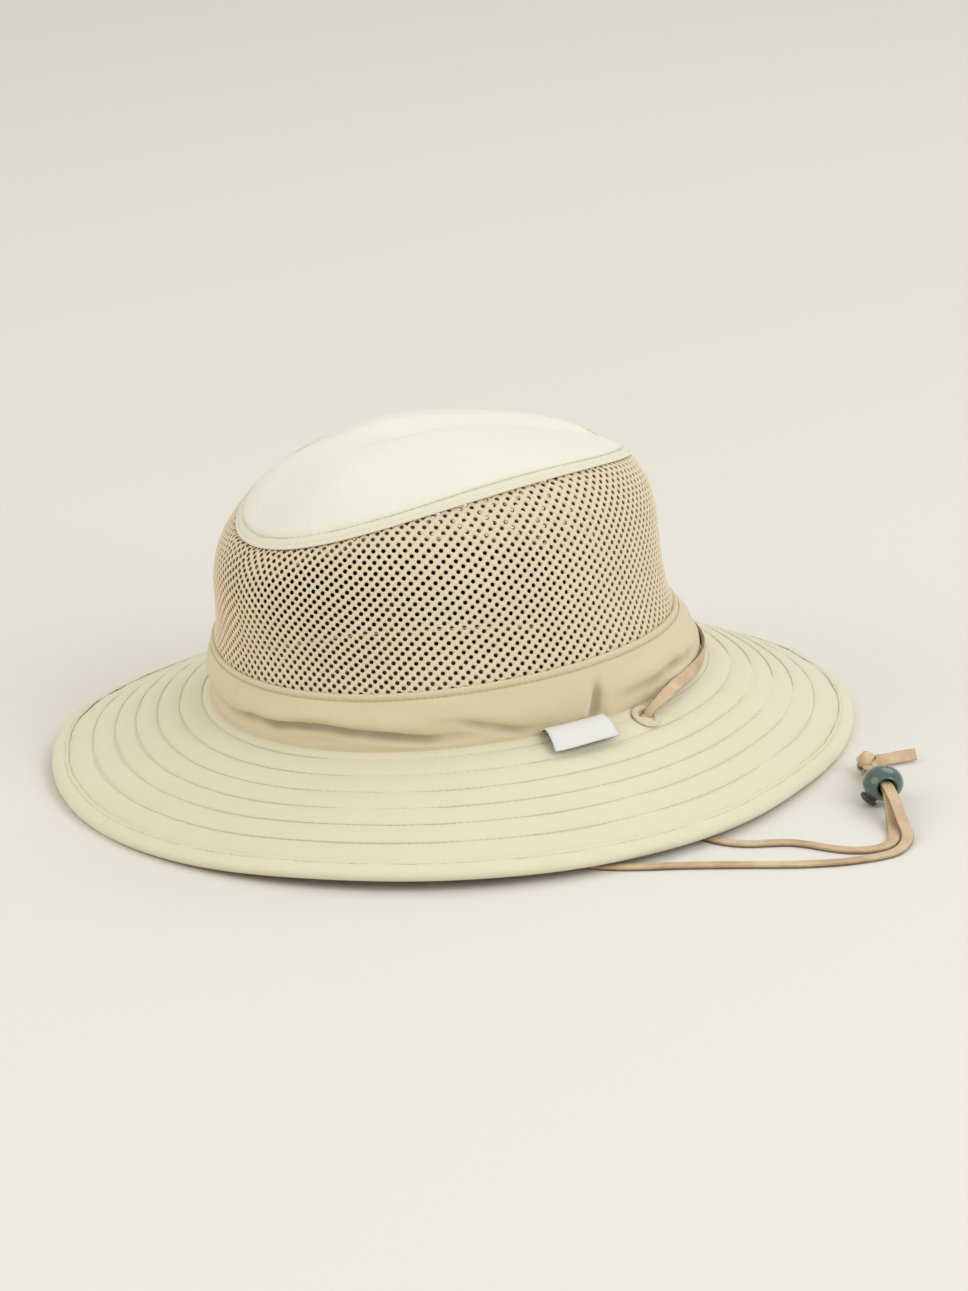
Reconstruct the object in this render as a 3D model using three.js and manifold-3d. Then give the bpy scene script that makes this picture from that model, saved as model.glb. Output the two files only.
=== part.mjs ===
// Soft sun hat: a cloth fedora with a mesh crown wall, a stitched brim and a leather chin lace.
// Millimetres, +Z up. The front of the hat faces -Y and the wearer's left is +X.
// The origin is on the surface that the hat rests on, under the middle of the brim.
import * as THREE from "three";
import { mergeVertices } from "three/addons/utils/BufferGeometryUtils.js";
import Module from "manifold-3d";

// ---------- driving dimensions ----------

const AROUND = 48; // facets round the hat
const GAP = 0.3; // kept between neighbouring pieces
const PLY = 1.1; // one layer of the brim: cloth and its stiffener
const CLOTH = 1.2; // wall of the band and of the top panel
const MESH_CLOTH = 1.0;
const LINING = 0.8;

// Rings that the cloth is sewn to: ovals seen from above, by half length, half width and middle.
// A ring's height falls towards the front by `rise`, and towards both ends by `saddle`.
const RINGS = table(
  ["name", "halfLength", "halfWidth", "middle", "height", "rise", "saddle"],
  [
    ["brimSeam", 103.5, 86.5, -3.7, 34.5, 2.6, 1.8],
    ["bandSeam", 96.5, 84.1, -9.5, 58.3, 3.5, 2.4],
    ["topSeam", 86.5, 54.5, -13.4, 120.0, 6.0, 7.9],
  ],
);

// How far the mesh wall swells past a straight line between its two seams: in the middle of its
// height, and above that as the shoulder that rolls in to the top seam.
const WALL_BELLY = { length: 3.4, width: 5.2, middle: -1.5 };
const WALL_SHOULDER = { length: 5.9, width: 4.8 };

// How far the band cloth stands out from a straight line between its seams, by height.
const BAND_ROLL = table(
  ["up", "front", "back"],
  [
    [0.0, 0.0, 0.0],
    [0.22, -0.8, 2.2],
    [0.5, 1.3, 2.8],
    [0.76, 1.0, 1.5],
    [1.0, 0.0, 0.0],
  ],
);

// Brim outline: an oval, what each direction adds to its reach, and the height of its lowest edge.
// The brim stands on its front and on both back quarters, and lifts a little between them.
const BRIM_OVAL = { halfLength: 170.7, halfWidth: 144.4, middle: -3.7 };
const BRIM_EDGE = table(
  ["turn", "reach", "lift"],
  [
    [0, -2.5, 0.0],
    [20, -1.4, 1.4],
    [40, 1.0, 4.0],
    [60, 3.1, 4.4],
    [78, 2.2, 3.2],
    [98, 0.2, 2.5],
    [120, -4.4, 1.1],
    [138, -2.6, 0.0],
    [160, 2.6, 1.4],
    [180, 4.9, 2.2],
  ],
);
const BRIM = {
  inset: 1.2, // runs in under the band
  curve: 0.18, // share of its fall that its curve moves outwards
  edgeTop: 2.24, // upper face at the very edge, above the lowest point of the binding
  steps: 4,
};
const BINDING = { top: 7.5, bottom: 10, cloth: 0.55, turn: 1.6, layersEnd: 2.0 };

// Top panel: height along its two ridges, and depth of the crease between them.
const CREST = table(
  ["back", "height", "crease"],
  [
    [-99.9, 106.1, 0],
    [-92.7, 115.5, 0],
    [-83.7, 123.5, 0],
    [-68.7, 133.0, 0.2],
    [-48.7, 139.8, 2.0],
    [-28.7, 142.0, 6.5],
    [-11.7, 141.0, 9.5],
    [6.3, 137.9, 10.5],
    [28.3, 133.4, 10.0],
    [48.3, 128.0, 7.0],
    [62.3, 123.2, 3.0],
    [73.1, 118.1, 0],
  ],
);
const RIDGE = { side: 16, share: 0.42, power: 1.7 };
const PINCH = { side: 33, back: -49.7, spread: 13, depth: 3 };
const TOP_STEPS = 6;

const SWEATBAND = { low: -0.06, high: 0.95, clear: 2.95, cloth: 1.2 };
const CARE_TAG = { width: 24, long: 30, cloth: 0.7, up: 0.85, clear: 2.3, spread: 6 };
const BRIM_LABEL = { turn: 87, span: 15.5, cloth: 0.5 };
// The label's path out of the brim seam: distance outwards, and height above the seam.
const LABEL_ARCH = table(
  ["out", "up"],
  [
    [0.5, 1.5],
    [3.0, 2.6],
    [7.0, 1.6],
    [11.0, -1.0],
    [15.0, -4.6],
  ],
);

const EYELET = { turn: 104, fromSeam: 8.5, hole: 3.3, barrel: 4.3, flange: 6.2, lip: 0.9 };

const LACE = { width: 4.8, thick: 1.6, corner: 0.7, step: 12 };
const TOGGLE = {
  centre: new THREE.Vector3(148.2, 97.1, 9.55),
  radius: 8.15,
  laceTurn: 155, // direction in which the lace leaves it, from +X towards +Y
  laceBore: 3.35,
};
// The toggle's plunger: a slotted barrel inside the ball, and a button that stands out of it.
const PLUNGER = {
  dip: 50, // degrees below level
  barrel: 4.3,
  inner: -4.25,
  shoulder: 5.6,
  slotFrom: -3.25,
  travel: 1.6,
  slotHalfWidth: 2.95,
  button: 2.8,
  tip: 11,
  play: 0.3,
};
const KNOT = { centre: [118.7, 113.1, 3.9], radii: [4.5, 4.1, 3.9] };

// Routes of the lace's centre line, from the knot through the toggle, along the surface, in under
// the brim and up through an eyelet.
const LACE_LEFT = [
  [122.9, 110.2, 3.0],
  [128.6, 106.5, 4.4],
  [134.6, 103.5, 6.4],
  [140.9, 100.5, 8.2],
  [148.2, 97.1, 8.6],
  [156.0, 93.4, 8.5],
  [162.8, 88.9, 5.9],
  [169.8, 84.3, 2.6],
  [176.9, 79.4, 1.0],
  [182.6, 73.8, 0.85],
  [184.8, 67.8, 0.85],
  [184.0, 61.8, 0.85],
  [181.2, 56.6, 0.85],
  [177.0, 52.3, 0.85],
  [171.6, 48.7, 0.85],
  [165.6, 45.2, 0.85],
  [160.2, 40.4, 0.85],
  [156.4, 34.0, 0.85],
  [152.6, 27.2, 0.85],
  [146.6, 21.4, 0.85],
  [137.5, 18.0, 0.85],
  [125.5, 16.8, 0.85],
  [113.0, 17.2, 0.85],
  [102.0, 18.4, 1.4],
  [94.4, 19.7, 4.8],
  [89.0, 21.0, 11.2],
  [87.0, 22.0, 18.6],
  [87.5, 22.6, 25.4],
  [89.3, 23.0, 29.6],
  [92.2, 23.7, 35.6],
];
const LACE_RIGHT = [
  [122.9, 110.2, 4.9],
  [128.6, 106.5, 6.4],
  [134.6, 103.5, 8.4],
  [140.9, 100.5, 10.2],
  [148.2, 97.1, 10.5],
  [156.0, 93.4, 10.4],
  [163.4, 89.7, 9.6],
  [170.3, 86.7, 7.2],
  [176.8, 84.0, 4.2],
  [183.7, 80.7, 2.0],
  [188.8, 74.3, 0.85],
  [191.6, 67.4, 0.85],
  [191.5, 60.5, 0.85],
  [190.2, 53.8, 0.85],
  [188.3, 47.0, 0.85],
  [185.2, 39.6, 0.85],
  [180.0, 29.9, 0.85],
  [171.6, 17.1, 0.85],
  [163.0, 4.5, 0.85],
  [154.8, -8.3, 0.85],
  [147.2, -21.5, 0.85],
  [138.0, -33.5, 0.85],
  [125.0, -42.0, 0.85],
  [107.0, -46.0, 0.85],
  [85.0, -43.7, 0.85],
  [55.0, -34.7, 0.85],
  [20.0, -21.7, 0.85],
  [-20.0, -5.7, 0.9],
  [-53.0, 7.2, 0.95],
  [-72.0, 13.6, 1.2],
  [-81.5, 17.0, 5.4],
  [-85.6, 19.6, 12.0],
  [-86.4, 21.6, 19.4],
  [-87.5, 22.6, 25.4],
  [-89.3, 23.0, 29.6],
  [-92.2, 23.7, 35.6],
];
// The stretch between the eyelets stands on its edge against the back of the band. This is its
// left half, from above the eyelet to the middle of the back.
const LACE_BACK_HALF = [
  [92.9, 24.8, 38.2],
  [91.2, 28.0, 40.2],
  [88.6, 32.2, 40.8],
  [84.8, 37.3, 40.7],
  [79.4, 45.8, 40.3],
  [69.9, 61.1, 39.9],
  [57.5, 76.1, 39.5],
  [44.7, 86.8, 39.2],
  [30.7, 94.6, 38.9],
  [15.4, 99.5, 38.7],
];
const LACE_BACK_MIDDLE = [0, 101.2, 38.6];
const LACE_TAIL = [
  [117.3, 117.4, 3.2],
  [115.4, 122.4, 1.6],
  [114.2, 128.4, 0.85],
  [114.2, 134.4, 0.85],
  [114.9, 140.7, 0.85],
];

// ---------- looks ----------

const FINISHES = {
  khaki: [0xe2dcc0, 0.85],
  ivory: [0xf0ecda, 0.85],
  band: [0xd6c8a5, 0.85],
  mesh: [0xdccfa9, 0.8],
  binding: [0xe6dcbc, 0.85],
  olive: [0x50503e, 0.9],
  black: [0x24262a, 0.9],
  white: [0xf4f2ec, 0.8],
  enamel: [0xd9cfae, 0.5],
  leather: [0xd8b48c, 0.6],
  plastic: [0x3e4f49, 0.25],
};

const wasm = await Module();
wasm.setup();

// ---------- small helpers ----------

function table(columns, rows) {
  return rows.map((row) => Object.fromEntries(columns.map((name, i) => [name, row[i]])));
}

const rad = (degrees) => (degrees * Math.PI) / 180;
const mix = (a, b, t) => a + (b - a) * t;

// A smooth value through a table's rows. Before the first row and after the last it holds level.
function along(rows, key, column, at) {
  const last = rows.length - 1;
  if (at <= rows[0][key]) return rows[0][column];
  if (at >= rows[last][key]) return rows[last][column];
  const i = rows.findIndex((row, n) => n < last && at < rows[n + 1][key]);
  const slope = (n) => {
    const a = rows[Math.max(n - 1, 0)];
    const b = rows[Math.min(n + 1, last)];
    return (b[column] - a[column]) / (b[key] - a[key]);
  };
  const [a, b] = [rows[i], rows[i + 1]];
  const width = b[key] - a[key];
  const t = (at - a[key]) / width;
  const rise = b[column] - a[column];
  const startSlope = slope(i) * width;
  const endSlope = slope(i + 1) * width;
  const square = 3 * rise - 2 * startSlope - endSlope;
  const cube = startSlope + endSlope - 2 * rise;
  return a[column] + t * (startSlope + t * (square + t * cube));
}

// Turns are in degrees from the front towards the wearer's left. The two halves of the hat match.
const mirrored = (turn) => {
  const t = ((turn % 360) + 360) % 360;
  return t > 180 ? 360 - t : t;
};

function ovalPoint(ring, turn) {
  const a = rad(turn);
  return new THREE.Vector3(
    ring.halfWidth * Math.sin(a),
    ring.middle - ring.halfLength * Math.cos(a),
    ring.height - ring.rise * Math.cos(a) - ring.saddle * Math.cos(2 * a),
  );
}

const ring = (name) => RINGS.find((row) => row.name === name);

function mixRings(low, high, t) {
  const mixed = {};
  for (const key of ["halfLength", "halfWidth", "middle", "height", "rise", "saddle"])
    mixed[key] = mix(low[key], high[key], t);
  return mixed;
}

// ---------- surfaces: a point for a turn and a share of the way from one seam to the next ----------

function wallPoint(turn, up) {
  const oval = mixRings(ring("bandSeam"), ring("topSeam"), up);
  const belly = 4 * up * (1 - up);
  const shoulder = belly * (2 * up - 1);
  oval.halfLength += belly * WALL_BELLY.length + shoulder * WALL_SHOULDER.length;
  oval.halfWidth += belly * WALL_BELLY.width + shoulder * WALL_SHOULDER.width;
  oval.middle += belly * WALL_BELLY.middle;
  return ovalPoint(oval, turn);
}

function plainBandPoint(turn, up) {
  return ovalPoint(mixRings(ring("brimSeam"), ring("bandSeam"), up), turn);
}

function bandPoint(turn, up) {
  const oval = mixRings(ring("brimSeam"), ring("bandSeam"), up);
  const backness = (1 - Math.cos(rad(turn))) / 2;
  const roll = mix(along(BAND_ROLL, "up", "front", up), along(BAND_ROLL, "up", "back", up), backness);
  oval.halfLength += roll;
  oval.halfWidth += roll;
  return ovalPoint(oval, turn);
}

function brimEdgePoint(turn) {
  const a = rad(turn);
  const reach = along(BRIM_EDGE, "turn", "reach", mirrored(turn));
  const lift = along(BRIM_EDGE, "turn", "lift", mirrored(turn));
  return new THREE.Vector3(
    (BRIM_OVAL.halfWidth + reach) * Math.sin(a),
    BRIM_OVAL.middle - (BRIM_OVAL.halfLength + reach) * Math.cos(a),
    lift + BRIM.edgeTop,
  );
}

// Upper face of the brim: `out` is 0 at the brim seam and 1 at the very edge.
function brimPoint(turn, out) {
  const seam = ovalPoint(ring("brimSeam"), turn);
  const edge = brimEdgePoint(turn);
  const fall = out * (1 - BRIM.curve) + out * out * BRIM.curve;
  return new THREE.Vector3(
    mix(seam.x, edge.x, out),
    mix(seam.y, edge.y, out),
    mix(seam.z, edge.z, fall),
  );
}

const brimSlant = (turn) => brimPoint(turn, 0).distanceTo(brimPoint(turn, 1));

function topHeight(x, y) {
  const seam = ring("topSeam");
  const cosine = THREE.MathUtils.clamp((seam.middle - y) / seam.halfLength, -1, 1);
  const halfWidth = seam.halfWidth * Math.sqrt(1 - cosine * cosine);
  const seamHeight = seam.height - seam.rise * cosine - seam.saddle * (2 * cosine * cosine - 1);
  const crest = along(CREST, "back", "height", y);
  const crease = along(CREST, "back", "crease", y);
  const ridge = Math.max(Math.min(RIDGE.side, RIDGE.share * halfWidth), 0.01);
  const aside = Math.abs(x);
  const past = Math.max(aside - ridge, 0) / Math.max(halfWidth - ridge, 0.01);
  const shoulder = Math.min(past, 1) ** RIDGE.power;
  const bowl = Math.cos((Math.min(aside / ridge, 1) * Math.PI) / 2) ** 2;
  const pinchSquare = (aside - PINCH.side) ** 2 + (y - PINCH.back) ** 2;
  const pinch = PINCH.depth * Math.exp(-pinchSquare / (2 * PINCH.spread ** 2));
  return mix(crest, seamHeight, shoulder) - crease * bowl - pinch * (1 - past ** 4);
}

// Top panel: `out` is 0 at its middle and 1 at its seam.
function topPoint(turn, out) {
  const edge = ovalPoint(ring("topSeam"), turn);
  const x = edge.x * out;
  const y = mix(ring("topSeam").middle, edge.y, out);
  return new THREE.Vector3(x, y, out > 0.9999 ? edge.z : topHeight(x, y));
}

// Outer normal of a surface, from its neighbouring points. Walls are measured upwards, and the brim
// and the top panel outwards, which turns the cross product over.
function normalOf(surface, turn, share) {
  const step = 0.01;
  const round = surface(turn + 0.5, share).sub(surface(turn - 0.5, share));
  const across = surface(turn, share + step).sub(surface(turn, share - step));
  const lies = surface === brimPoint || surface === topPoint;
  return round.cross(across).setLength(lies ? -1 : 1);
}

// ---------- solids ----------

// A closed ring whose section at each turn is a list of points, all with the same count.
function ringSolid(sectionAt) {
  const positions = [];
  const faces = [];
  let count = 0;
  for (let i = 0; i < AROUND; i++) {
    const section = sectionAt((360 * i) / AROUND);
    count = section.length;
    for (const p of section) positions.push(p.x, p.y, p.z);
  }
  for (let i = 0; i < AROUND; i++) {
    const here = i * count;
    const next = ((i + 1) % AROUND) * count;
    for (let k = 0; k < count; k++) {
      const m = (k + 1) % count;
      faces.push(here + k, next + k, next + m, here + k, next + m, here + m);
    }
  }
  return solid(positions, faces);
}

function solid(positions, faces) {
  const geometry = new THREE.BufferGeometry();
  geometry.setAttribute("position", new THREE.Float32BufferAttribute(positions, 3));
  geometry.setIndex(faces);
  return outward(geometry);
}

// Turns a closed geometry's faces outwards, by the sign of the volume that they enclose.
function outward(geometry) {
  const p = geometry.attributes.position;
  const index = geometry.index.array;
  const [a, b, c] = [new THREE.Vector3(), new THREE.Vector3(), new THREE.Vector3()];
  let volume = 0;
  for (let i = 0; i < index.length; i += 3) {
    a.fromBufferAttribute(p, index[i]);
    b.fromBufferAttribute(p, index[i + 1]);
    c.fromBufferAttribute(p, index[i + 2]);
    volume += a.dot(b.cross(c));
  }
  if (volume < 0)
    for (let i = 0; i < index.length; i += 3)
      [index[i + 1], index[i + 2]] = [index[i + 2], index[i + 1]];
  return geometry;
}

// The wall between two depths under a surface, over the shares in `steps`.
function wallSolid(surface, steps, outer, inner) {
  return ringSolid((turn) => {
    const at = (share, depth) =>
      surface(turn, share).addScaledVector(normalOf(surface, turn, share), -depth);
    const outside = steps.map((share) => at(share, outer));
    const inside = steps.map((share) => at(share, inner)).reverse();
    return [...outside, ...inside];
  });
}

const evenSteps = (from, to, count) =>
  Array.from({ length: count + 1 }, (_, i) => mix(from, to, i / count));

// A domed sheet that closes over the middle of the top, between two depths under it.
function capSolid(outer, inner) {
  const shares = evenSteps(0, 1, TOP_STEPS).slice(1);
  const positions = [];
  const faces = [];
  const layer = (depth) => {
    const first = positions.length / 3;
    const top = topPoint(0, 0);
    positions.push(top.x, top.y, top.z - depth);
    for (const share of shares)
      for (let i = 0; i < AROUND; i++) {
        const turn = (360 * i) / AROUND;
        const p = topPoint(turn, share);
        const normal = normalOf(topPoint, turn, Math.min(share, 0.985));
        p.addScaledVector(normal, -depth);
        positions.push(p.x, p.y, p.z);
      }
    return first;
  };
  const [over, under] = [layer(outer), layer(inner)];
  const at = (first, row, i) => first + 1 + row * AROUND + (i % AROUND);
  for (let i = 0; i < AROUND; i++) {
    faces.push(over, at(over, 0, i), at(over, 0, i + 1));
    faces.push(under, at(under, 0, i + 1), at(under, 0, i));
    for (let row = 0; row + 1 < shares.length; row++) {
      const [a, b] = [at(over, row, i), at(over, row, i + 1)];
      const [c, d] = [at(over, row + 1, i), at(over, row + 1, i + 1)];
      faces.push(a, c, d, a, d, b);
      const [e, f] = [at(under, row, i), at(under, row, i + 1)];
      const [g, h] = [at(under, row + 1, i), at(under, row + 1, i + 1)];
      faces.push(e, h, g, e, f, h);
    }
    const rim = shares.length - 1;
    const [p, q] = [at(over, rim, i), at(over, rim, i + 1)];
    const [r, s] = [at(under, rim, i), at(under, rim, i + 1)];
    faces.push(p, r, s, p, s, q);
  }
  return solid(positions, faces);
}

// ---------- joins and cuts ----------

function toManifold(geometry) {
  const bare = geometry.clone();
  bare.deleteAttribute("normal");
  bare.deleteAttribute("uv");
  const merged = mergeVertices(bare, 1e-4);
  return new wasm.Manifold(
    new wasm.Mesh({
      numProp: 3,
      vertProperties: merged.attributes.position.array,
      triVerts: new Uint32Array(merged.index.array),
    }),
  );
}

function fromManifold(manifold) {
  const mesh = manifold.getMesh();
  const geometry = new THREE.BufferGeometry();
  geometry.setAttribute("position", new THREE.BufferAttribute(mesh.vertProperties, 3));
  geometry.setIndex(new THREE.BufferAttribute(mesh.triVerts, 1));
  return geometry;
}

const cut = (base, tools) =>
  fromManifold(tools.reduce((left, tool) => left.subtract(toManifold(tool)), toManifold(base)));

const join = (pieces) =>
  fromManifold(pieces.map(toManifold).reduce((whole, piece) => whole.add(piece)));

// A cylinder or lathe is made along +Y, and this stands it along a direction at a place.
function standAlong(geometry, direction, place) {
  const turn = new THREE.Quaternion().setFromUnitVectors(new THREE.Vector3(0, 1, 0), direction);
  return geometry.applyQuaternion(turn).translate(place.x, place.y, place.z);
}

function rod(radius, from, to, direction, place, sides) {
  const geometry = new THREE.CylinderGeometry(radius, radius, to - from, sides);
  geometry.translate(0, (from + to) / 2, 0);
  return standAlong(geometry, direction, place);
}

// ---------- pieces ----------

const BRIM_DEEP = 2 * PLY + GAP;

function eyeletSeat(turn) {
  const out = EYELET.fromSeam / brimSlant(turn);
  return { place: brimPoint(turn, out), axis: normalOf(brimPoint, turn, out) };
}

const EYELET_TURNS = { eyelet_left: EYELET.turn, eyelet_right: 360 - EYELET.turn };

function brimLayer(outer, inner) {
  const layer = ringSolid((turn) => {
    const slant = brimSlant(turn);
    const from = -BRIM.inset / slant;
    const to = 1 - BINDING.layersEnd / slant;
    const at = (share, depth) =>
      brimPoint(turn, share).addScaledVector(normalOf(brimPoint, turn, share), -depth);
    const steps = evenSteps(from, to, BRIM.steps);
    return [...steps.map((s) => at(s, outer)), ...steps.map((s) => at(s, inner)).reverse()];
  });
  const holes = Object.values(EYELET_TURNS).map((turn) => {
    const seat = eyeletSeat(turn);
    return rod(EYELET.barrel + GAP + 0.1, -8, 8, seat.axis, seat.place, 14);
  });
  return cut(layer, holes);
}

// The binding wraps the brim's edge. Its section is given by the distance in from the edge and the
// height over the brim's upper face.
function brimBinding() {
  const over = GAP + BINDING.cloth;
  const under = BRIM_DEEP + GAP;
  const nose = BINDING.turn;
  const section = [
    [BINDING.top, over],
    [nose, over],
    [0, -0.45],
    [0, 0.45 - BRIM_DEEP],
    [nose, -under - BINDING.cloth],
    [BINDING.bottom, -under - BINDING.cloth],
    [BINDING.bottom, -under],
    [nose, -under],
    [nose, GAP],
    [BINDING.top, GAP],
  ];
  return ringSolid((turn) => {
    const slant = brimSlant(turn);
    return section.map(([inwards, height]) => {
      const out = 1 - inwards / slant;
      return brimPoint(turn, out).addScaledVector(normalOf(brimPoint, turn, out), height);
    });
  });
}

function crownBand() {
  const high = 1 - GAP / 24;
  const steps = [0.045, ...BAND_ROLL.slice(1, -1).map((row) => row.up), high];
  return wallSolid(bandPoint, steps, 0, CLOTH);
}

const meshWall = () => wallSolid(wallPoint, evenSteps(0.004, 0.976, 6), 0, MESH_CLOTH);

function sweatband() {
  const steps = evenSteps(SWEATBAND.low, SWEATBAND.high, 2);
  return wallSolid(plainBandPoint, steps, SWEATBAND.clear, SWEATBAND.clear + SWEATBAND.cloth);
}

// Two blank leaves, sewn in together at their upper edge, that hang against the sweatband.
function careTag() {
  const { width, long, cloth, up, clear, spread } = CARE_TAG;
  const leaf = (depth, tilt) => {
    const sheet = new THREE.BoxGeometry(width, cloth, long).translate(0, 0, -long / 2);
    return sheet.rotateY(rad(tilt)).translate(0, -depth, 0);
  };
  const fold = new THREE.BoxGeometry(width * 0.9, 2 * cloth + 0.3, 1.2).translate(0, 0, -0.8);
  fold.translate(0, -cloth - 0.15, 0);
  const tag = join([leaf(cloth / 2, spread), leaf(1.5 * cloth + 0.3, -spread), fold]);
  const outwards = normalOf(plainBandPoint, 180, up);
  const sideways = new THREE.Vector3(1, 0, 0);
  const upwards = new THREE.Vector3().crossVectors(sideways, outwards);
  tag.applyMatrix4(new THREE.Matrix4().makeBasis(sideways, outwards, upwards));
  const depth = SWEATBAND.clear + SWEATBAND.cloth + clear;
  return tag.translate(...plainBandPoint(180, up).addScaledVector(outwards, -depth).toArray());
}

function brimLabel() {
  const columns = 7;
  const positions = [];
  const faces = [];
  const rows = LABEL_ARCH.length;
  for (let i = 0; i < columns; i++) {
    const turn = BRIM_LABEL.turn + BRIM_LABEL.span * (i / (columns - 1) - 0.5);
    const seam = ovalPoint(ring("brimSeam"), turn);
    const outwards = ovalPoint(ring("brimSeam"), turn + 0.5).sub(ovalPoint(ring("brimSeam"), turn - 0.5));
    outwards.set(outwards.y, -outwards.x, 0).normalize();
    LABEL_ARCH.forEach((row, k) => {
      const before = LABEL_ARCH[Math.max(k - 1, 0)];
      const after = LABEL_ARCH[Math.min(k + 1, rows - 1)];
      const run = new THREE.Vector2(after.out - before.out, after.up - before.up).normalize();
      for (const side of [0, BRIM_LABEL.cloth]) {
        const p = seam.clone().addScaledVector(outwards, row.out - run.y * side);
        positions.push(p.x, p.y, p.z + row.up + run.x * side);
      }
    });
  }
  const at = (i, k, side) => (i * rows + k) * 2 + side;
  const quad = (a, b, c, d) => faces.push(a, b, c, a, c, d);
  for (let i = 0; i + 1 < columns; i++)
    for (let k = 0; k + 1 < rows; k++) {
      quad(at(i, k, 1), at(i, k + 1, 1), at(i + 1, k + 1, 1), at(i + 1, k, 1));
      quad(at(i, k, 0), at(i + 1, k, 0), at(i + 1, k + 1, 0), at(i, k + 1, 0));
    }
  for (let i = 0; i + 1 < columns; i++) {
    quad(at(i, 0, 0), at(i, 0, 1), at(i + 1, 0, 1), at(i + 1, 0, 0));
    quad(at(i, rows - 1, 0), at(i + 1, rows - 1, 0), at(i + 1, rows - 1, 1), at(i, rows - 1, 1));
  }
  for (let k = 0; k + 1 < rows; k++) {
    quad(at(0, k, 0), at(0, k + 1, 0), at(0, k + 1, 1), at(0, k, 1));
    const last = columns - 1;
    quad(at(last, k, 0), at(last, k, 1), at(last, k + 1, 1), at(last, k + 1, 0));
  }
  return solid(positions, faces);
}

function eyelet(turn) {
  const { hole, barrel, flange, lip } = EYELET;
  const top = GAP + 0.3;
  const bottom = -BRIM_DEEP - top;
  const profile = [
    [hole, bottom - lip],
    [flange - 1, bottom - lip],
    [flange, bottom - lip * 0.4],
    [flange, bottom],
    [barrel, bottom],
    [barrel, top],
    [flange, top],
    [flange, top + lip * 0.4],
    [flange - 1, top + lip],
    [hole, top + lip],
    [hole, bottom - lip],
  ].map(([r, h]) => new THREE.Vector2(r, h));
  const seat = eyeletSeat(turn);
  return standAlong(new THREE.LatheGeometry(profile, 14), seat.axis, seat.place);
}

// The path of a flat thong. Its wide axis stays level, or upright where the thong stands on edge.
class LacePath extends THREE.CatmullRomCurve3 {
  constructor(route, onEdge) {
    super(route.map((p) => new THREE.Vector3(...p)), false, "centripetal");
    this.onEdge = onEdge;
  }

  computeFrenetFrames(segments) {
    const frames = { tangents: [], normals: [], binormals: [] };
    let wide = new THREE.Vector3(0, 0, 1);
    for (let i = 0; i <= segments; i++) {
      const tangent = this.getTangentAt(i / segments);
      const level = new THREE.Vector3(-tangent.y, tangent.x, 0);
      if (this.onEdge) wide = new THREE.Vector3(0, 0, 1);
      else if (level.length() > 0.5) wide = level;
      wide = wide.clone().addScaledVector(tangent, -wide.dot(tangent)).normalize();
      frames.tangents.push(tangent);
      frames.binormals.push(wide);
      frames.normals.push(wide.clone().cross(tangent));
    }
    return frames;
  }
}

// A flat thong with broken corners.
function lace(route, onEdge = false) {
  const path = new LacePath(route, onEdge);
  const [x, y, c] = [LACE.thick / 2, LACE.width / 2, LACE.corner];
  const corners = [
    [x, y - c],
    [x * 0.5, y],
    [-x * 0.5, y],
    [-x, y - c],
    [-x, c - y],
    [-x * 0.5, -y],
    [x * 0.5, -y],
    [x, c - y],
  ];
  const section = new THREE.Shape(corners.map((p) => new THREE.Vector2(...p)));
  const steps = Math.ceil(path.getLength() / LACE.step);
  return new THREE.ExtrudeGeometry(section, { steps, extrudePath: path, bevelEnabled: false });
}

const laceBackRoute = () => [
  ...LACE_BACK_HALF,
  LACE_BACK_MIDDLE,
  ...LACE_BACK_HALF.map(([x, y, z]) => [-x, y, z]).reverse(),
];

function knot() {
  const [x, y, z] = KNOT.radii;
  return new THREE.SphereGeometry(1, 10, 7).rotateX(Math.PI / 2).scale(x, y, z).translate(...KNOT.centre);
}

const laceAxis = new THREE.Vector3(Math.cos(rad(TOGGLE.laceTurn)), Math.sin(rad(TOGGLE.laceTurn)), 0);
// The button points level across the lace, towards the front, and dips below level.
const plungerAxis = new THREE.Vector3(-laceAxis.y, laceAxis.x, 0)
  .multiplyScalar(Math.cos(rad(PLUNGER.dip)))
  .add(new THREE.Vector3(0, 0, -Math.sin(rad(PLUNGER.dip))));

function toggleBody() {
  const ball = new THREE.SphereGeometry(TOGGLE.radius, 16, 12);
  ball.translate(...TOGGLE.centre.toArray());
  const { inner, travel, shoulder, barrel, button, play } = PLUNGER;
  const along = (r, from, to) => rod(r, from, to, plungerAxis, TOGGLE.centre, 14);
  return cut(ball, [
    rod(TOGGLE.laceBore, -12, 12, laceAxis, TOGGLE.centre, 14),
    along(barrel + play, inner - travel - 0.15, shoulder + play),
    along(button + play, 0, 12),
  ]);
}

function togglePlunger() {
  const { inner, travel, shoulder, barrel, button, tip, slotFrom, slotHalfWidth } = PLUNGER;
  const stem = rod(barrel, inner, shoulder, plungerAxis, TOGGLE.centre, 14);
  const buttonRod = rod(button, shoulder - 0.5, tip - 1, plungerAxis, TOGGLE.centre, 14);
  const end = new THREE.CylinderGeometry(button * 0.6, button, 1, 14).translate(0, tip - 0.5, 0);
  standAlong(end, plungerAxis, TOGGLE.centre);
  const slotTo = travel - slotFrom;
  const slot = new THREE.BoxGeometry(2 * slotHalfWidth, slotTo - slotFrom, 3 * barrel);
  slot.translate(0, (slotTo + slotFrom) / 2, 0);
  const across = new THREE.Vector3().crossVectors(plungerAxis, laceAxis);
  const frame = new THREE.Matrix4().makeBasis(across, plungerAxis, laceAxis);
  slot.applyMatrix4(frame).translate(...TOGGLE.centre.toArray());
  return cut(join([stem, buttonRod, end]), [slot]);
}

// ---------- the hat ----------

const hat = new THREE.Group();

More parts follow.
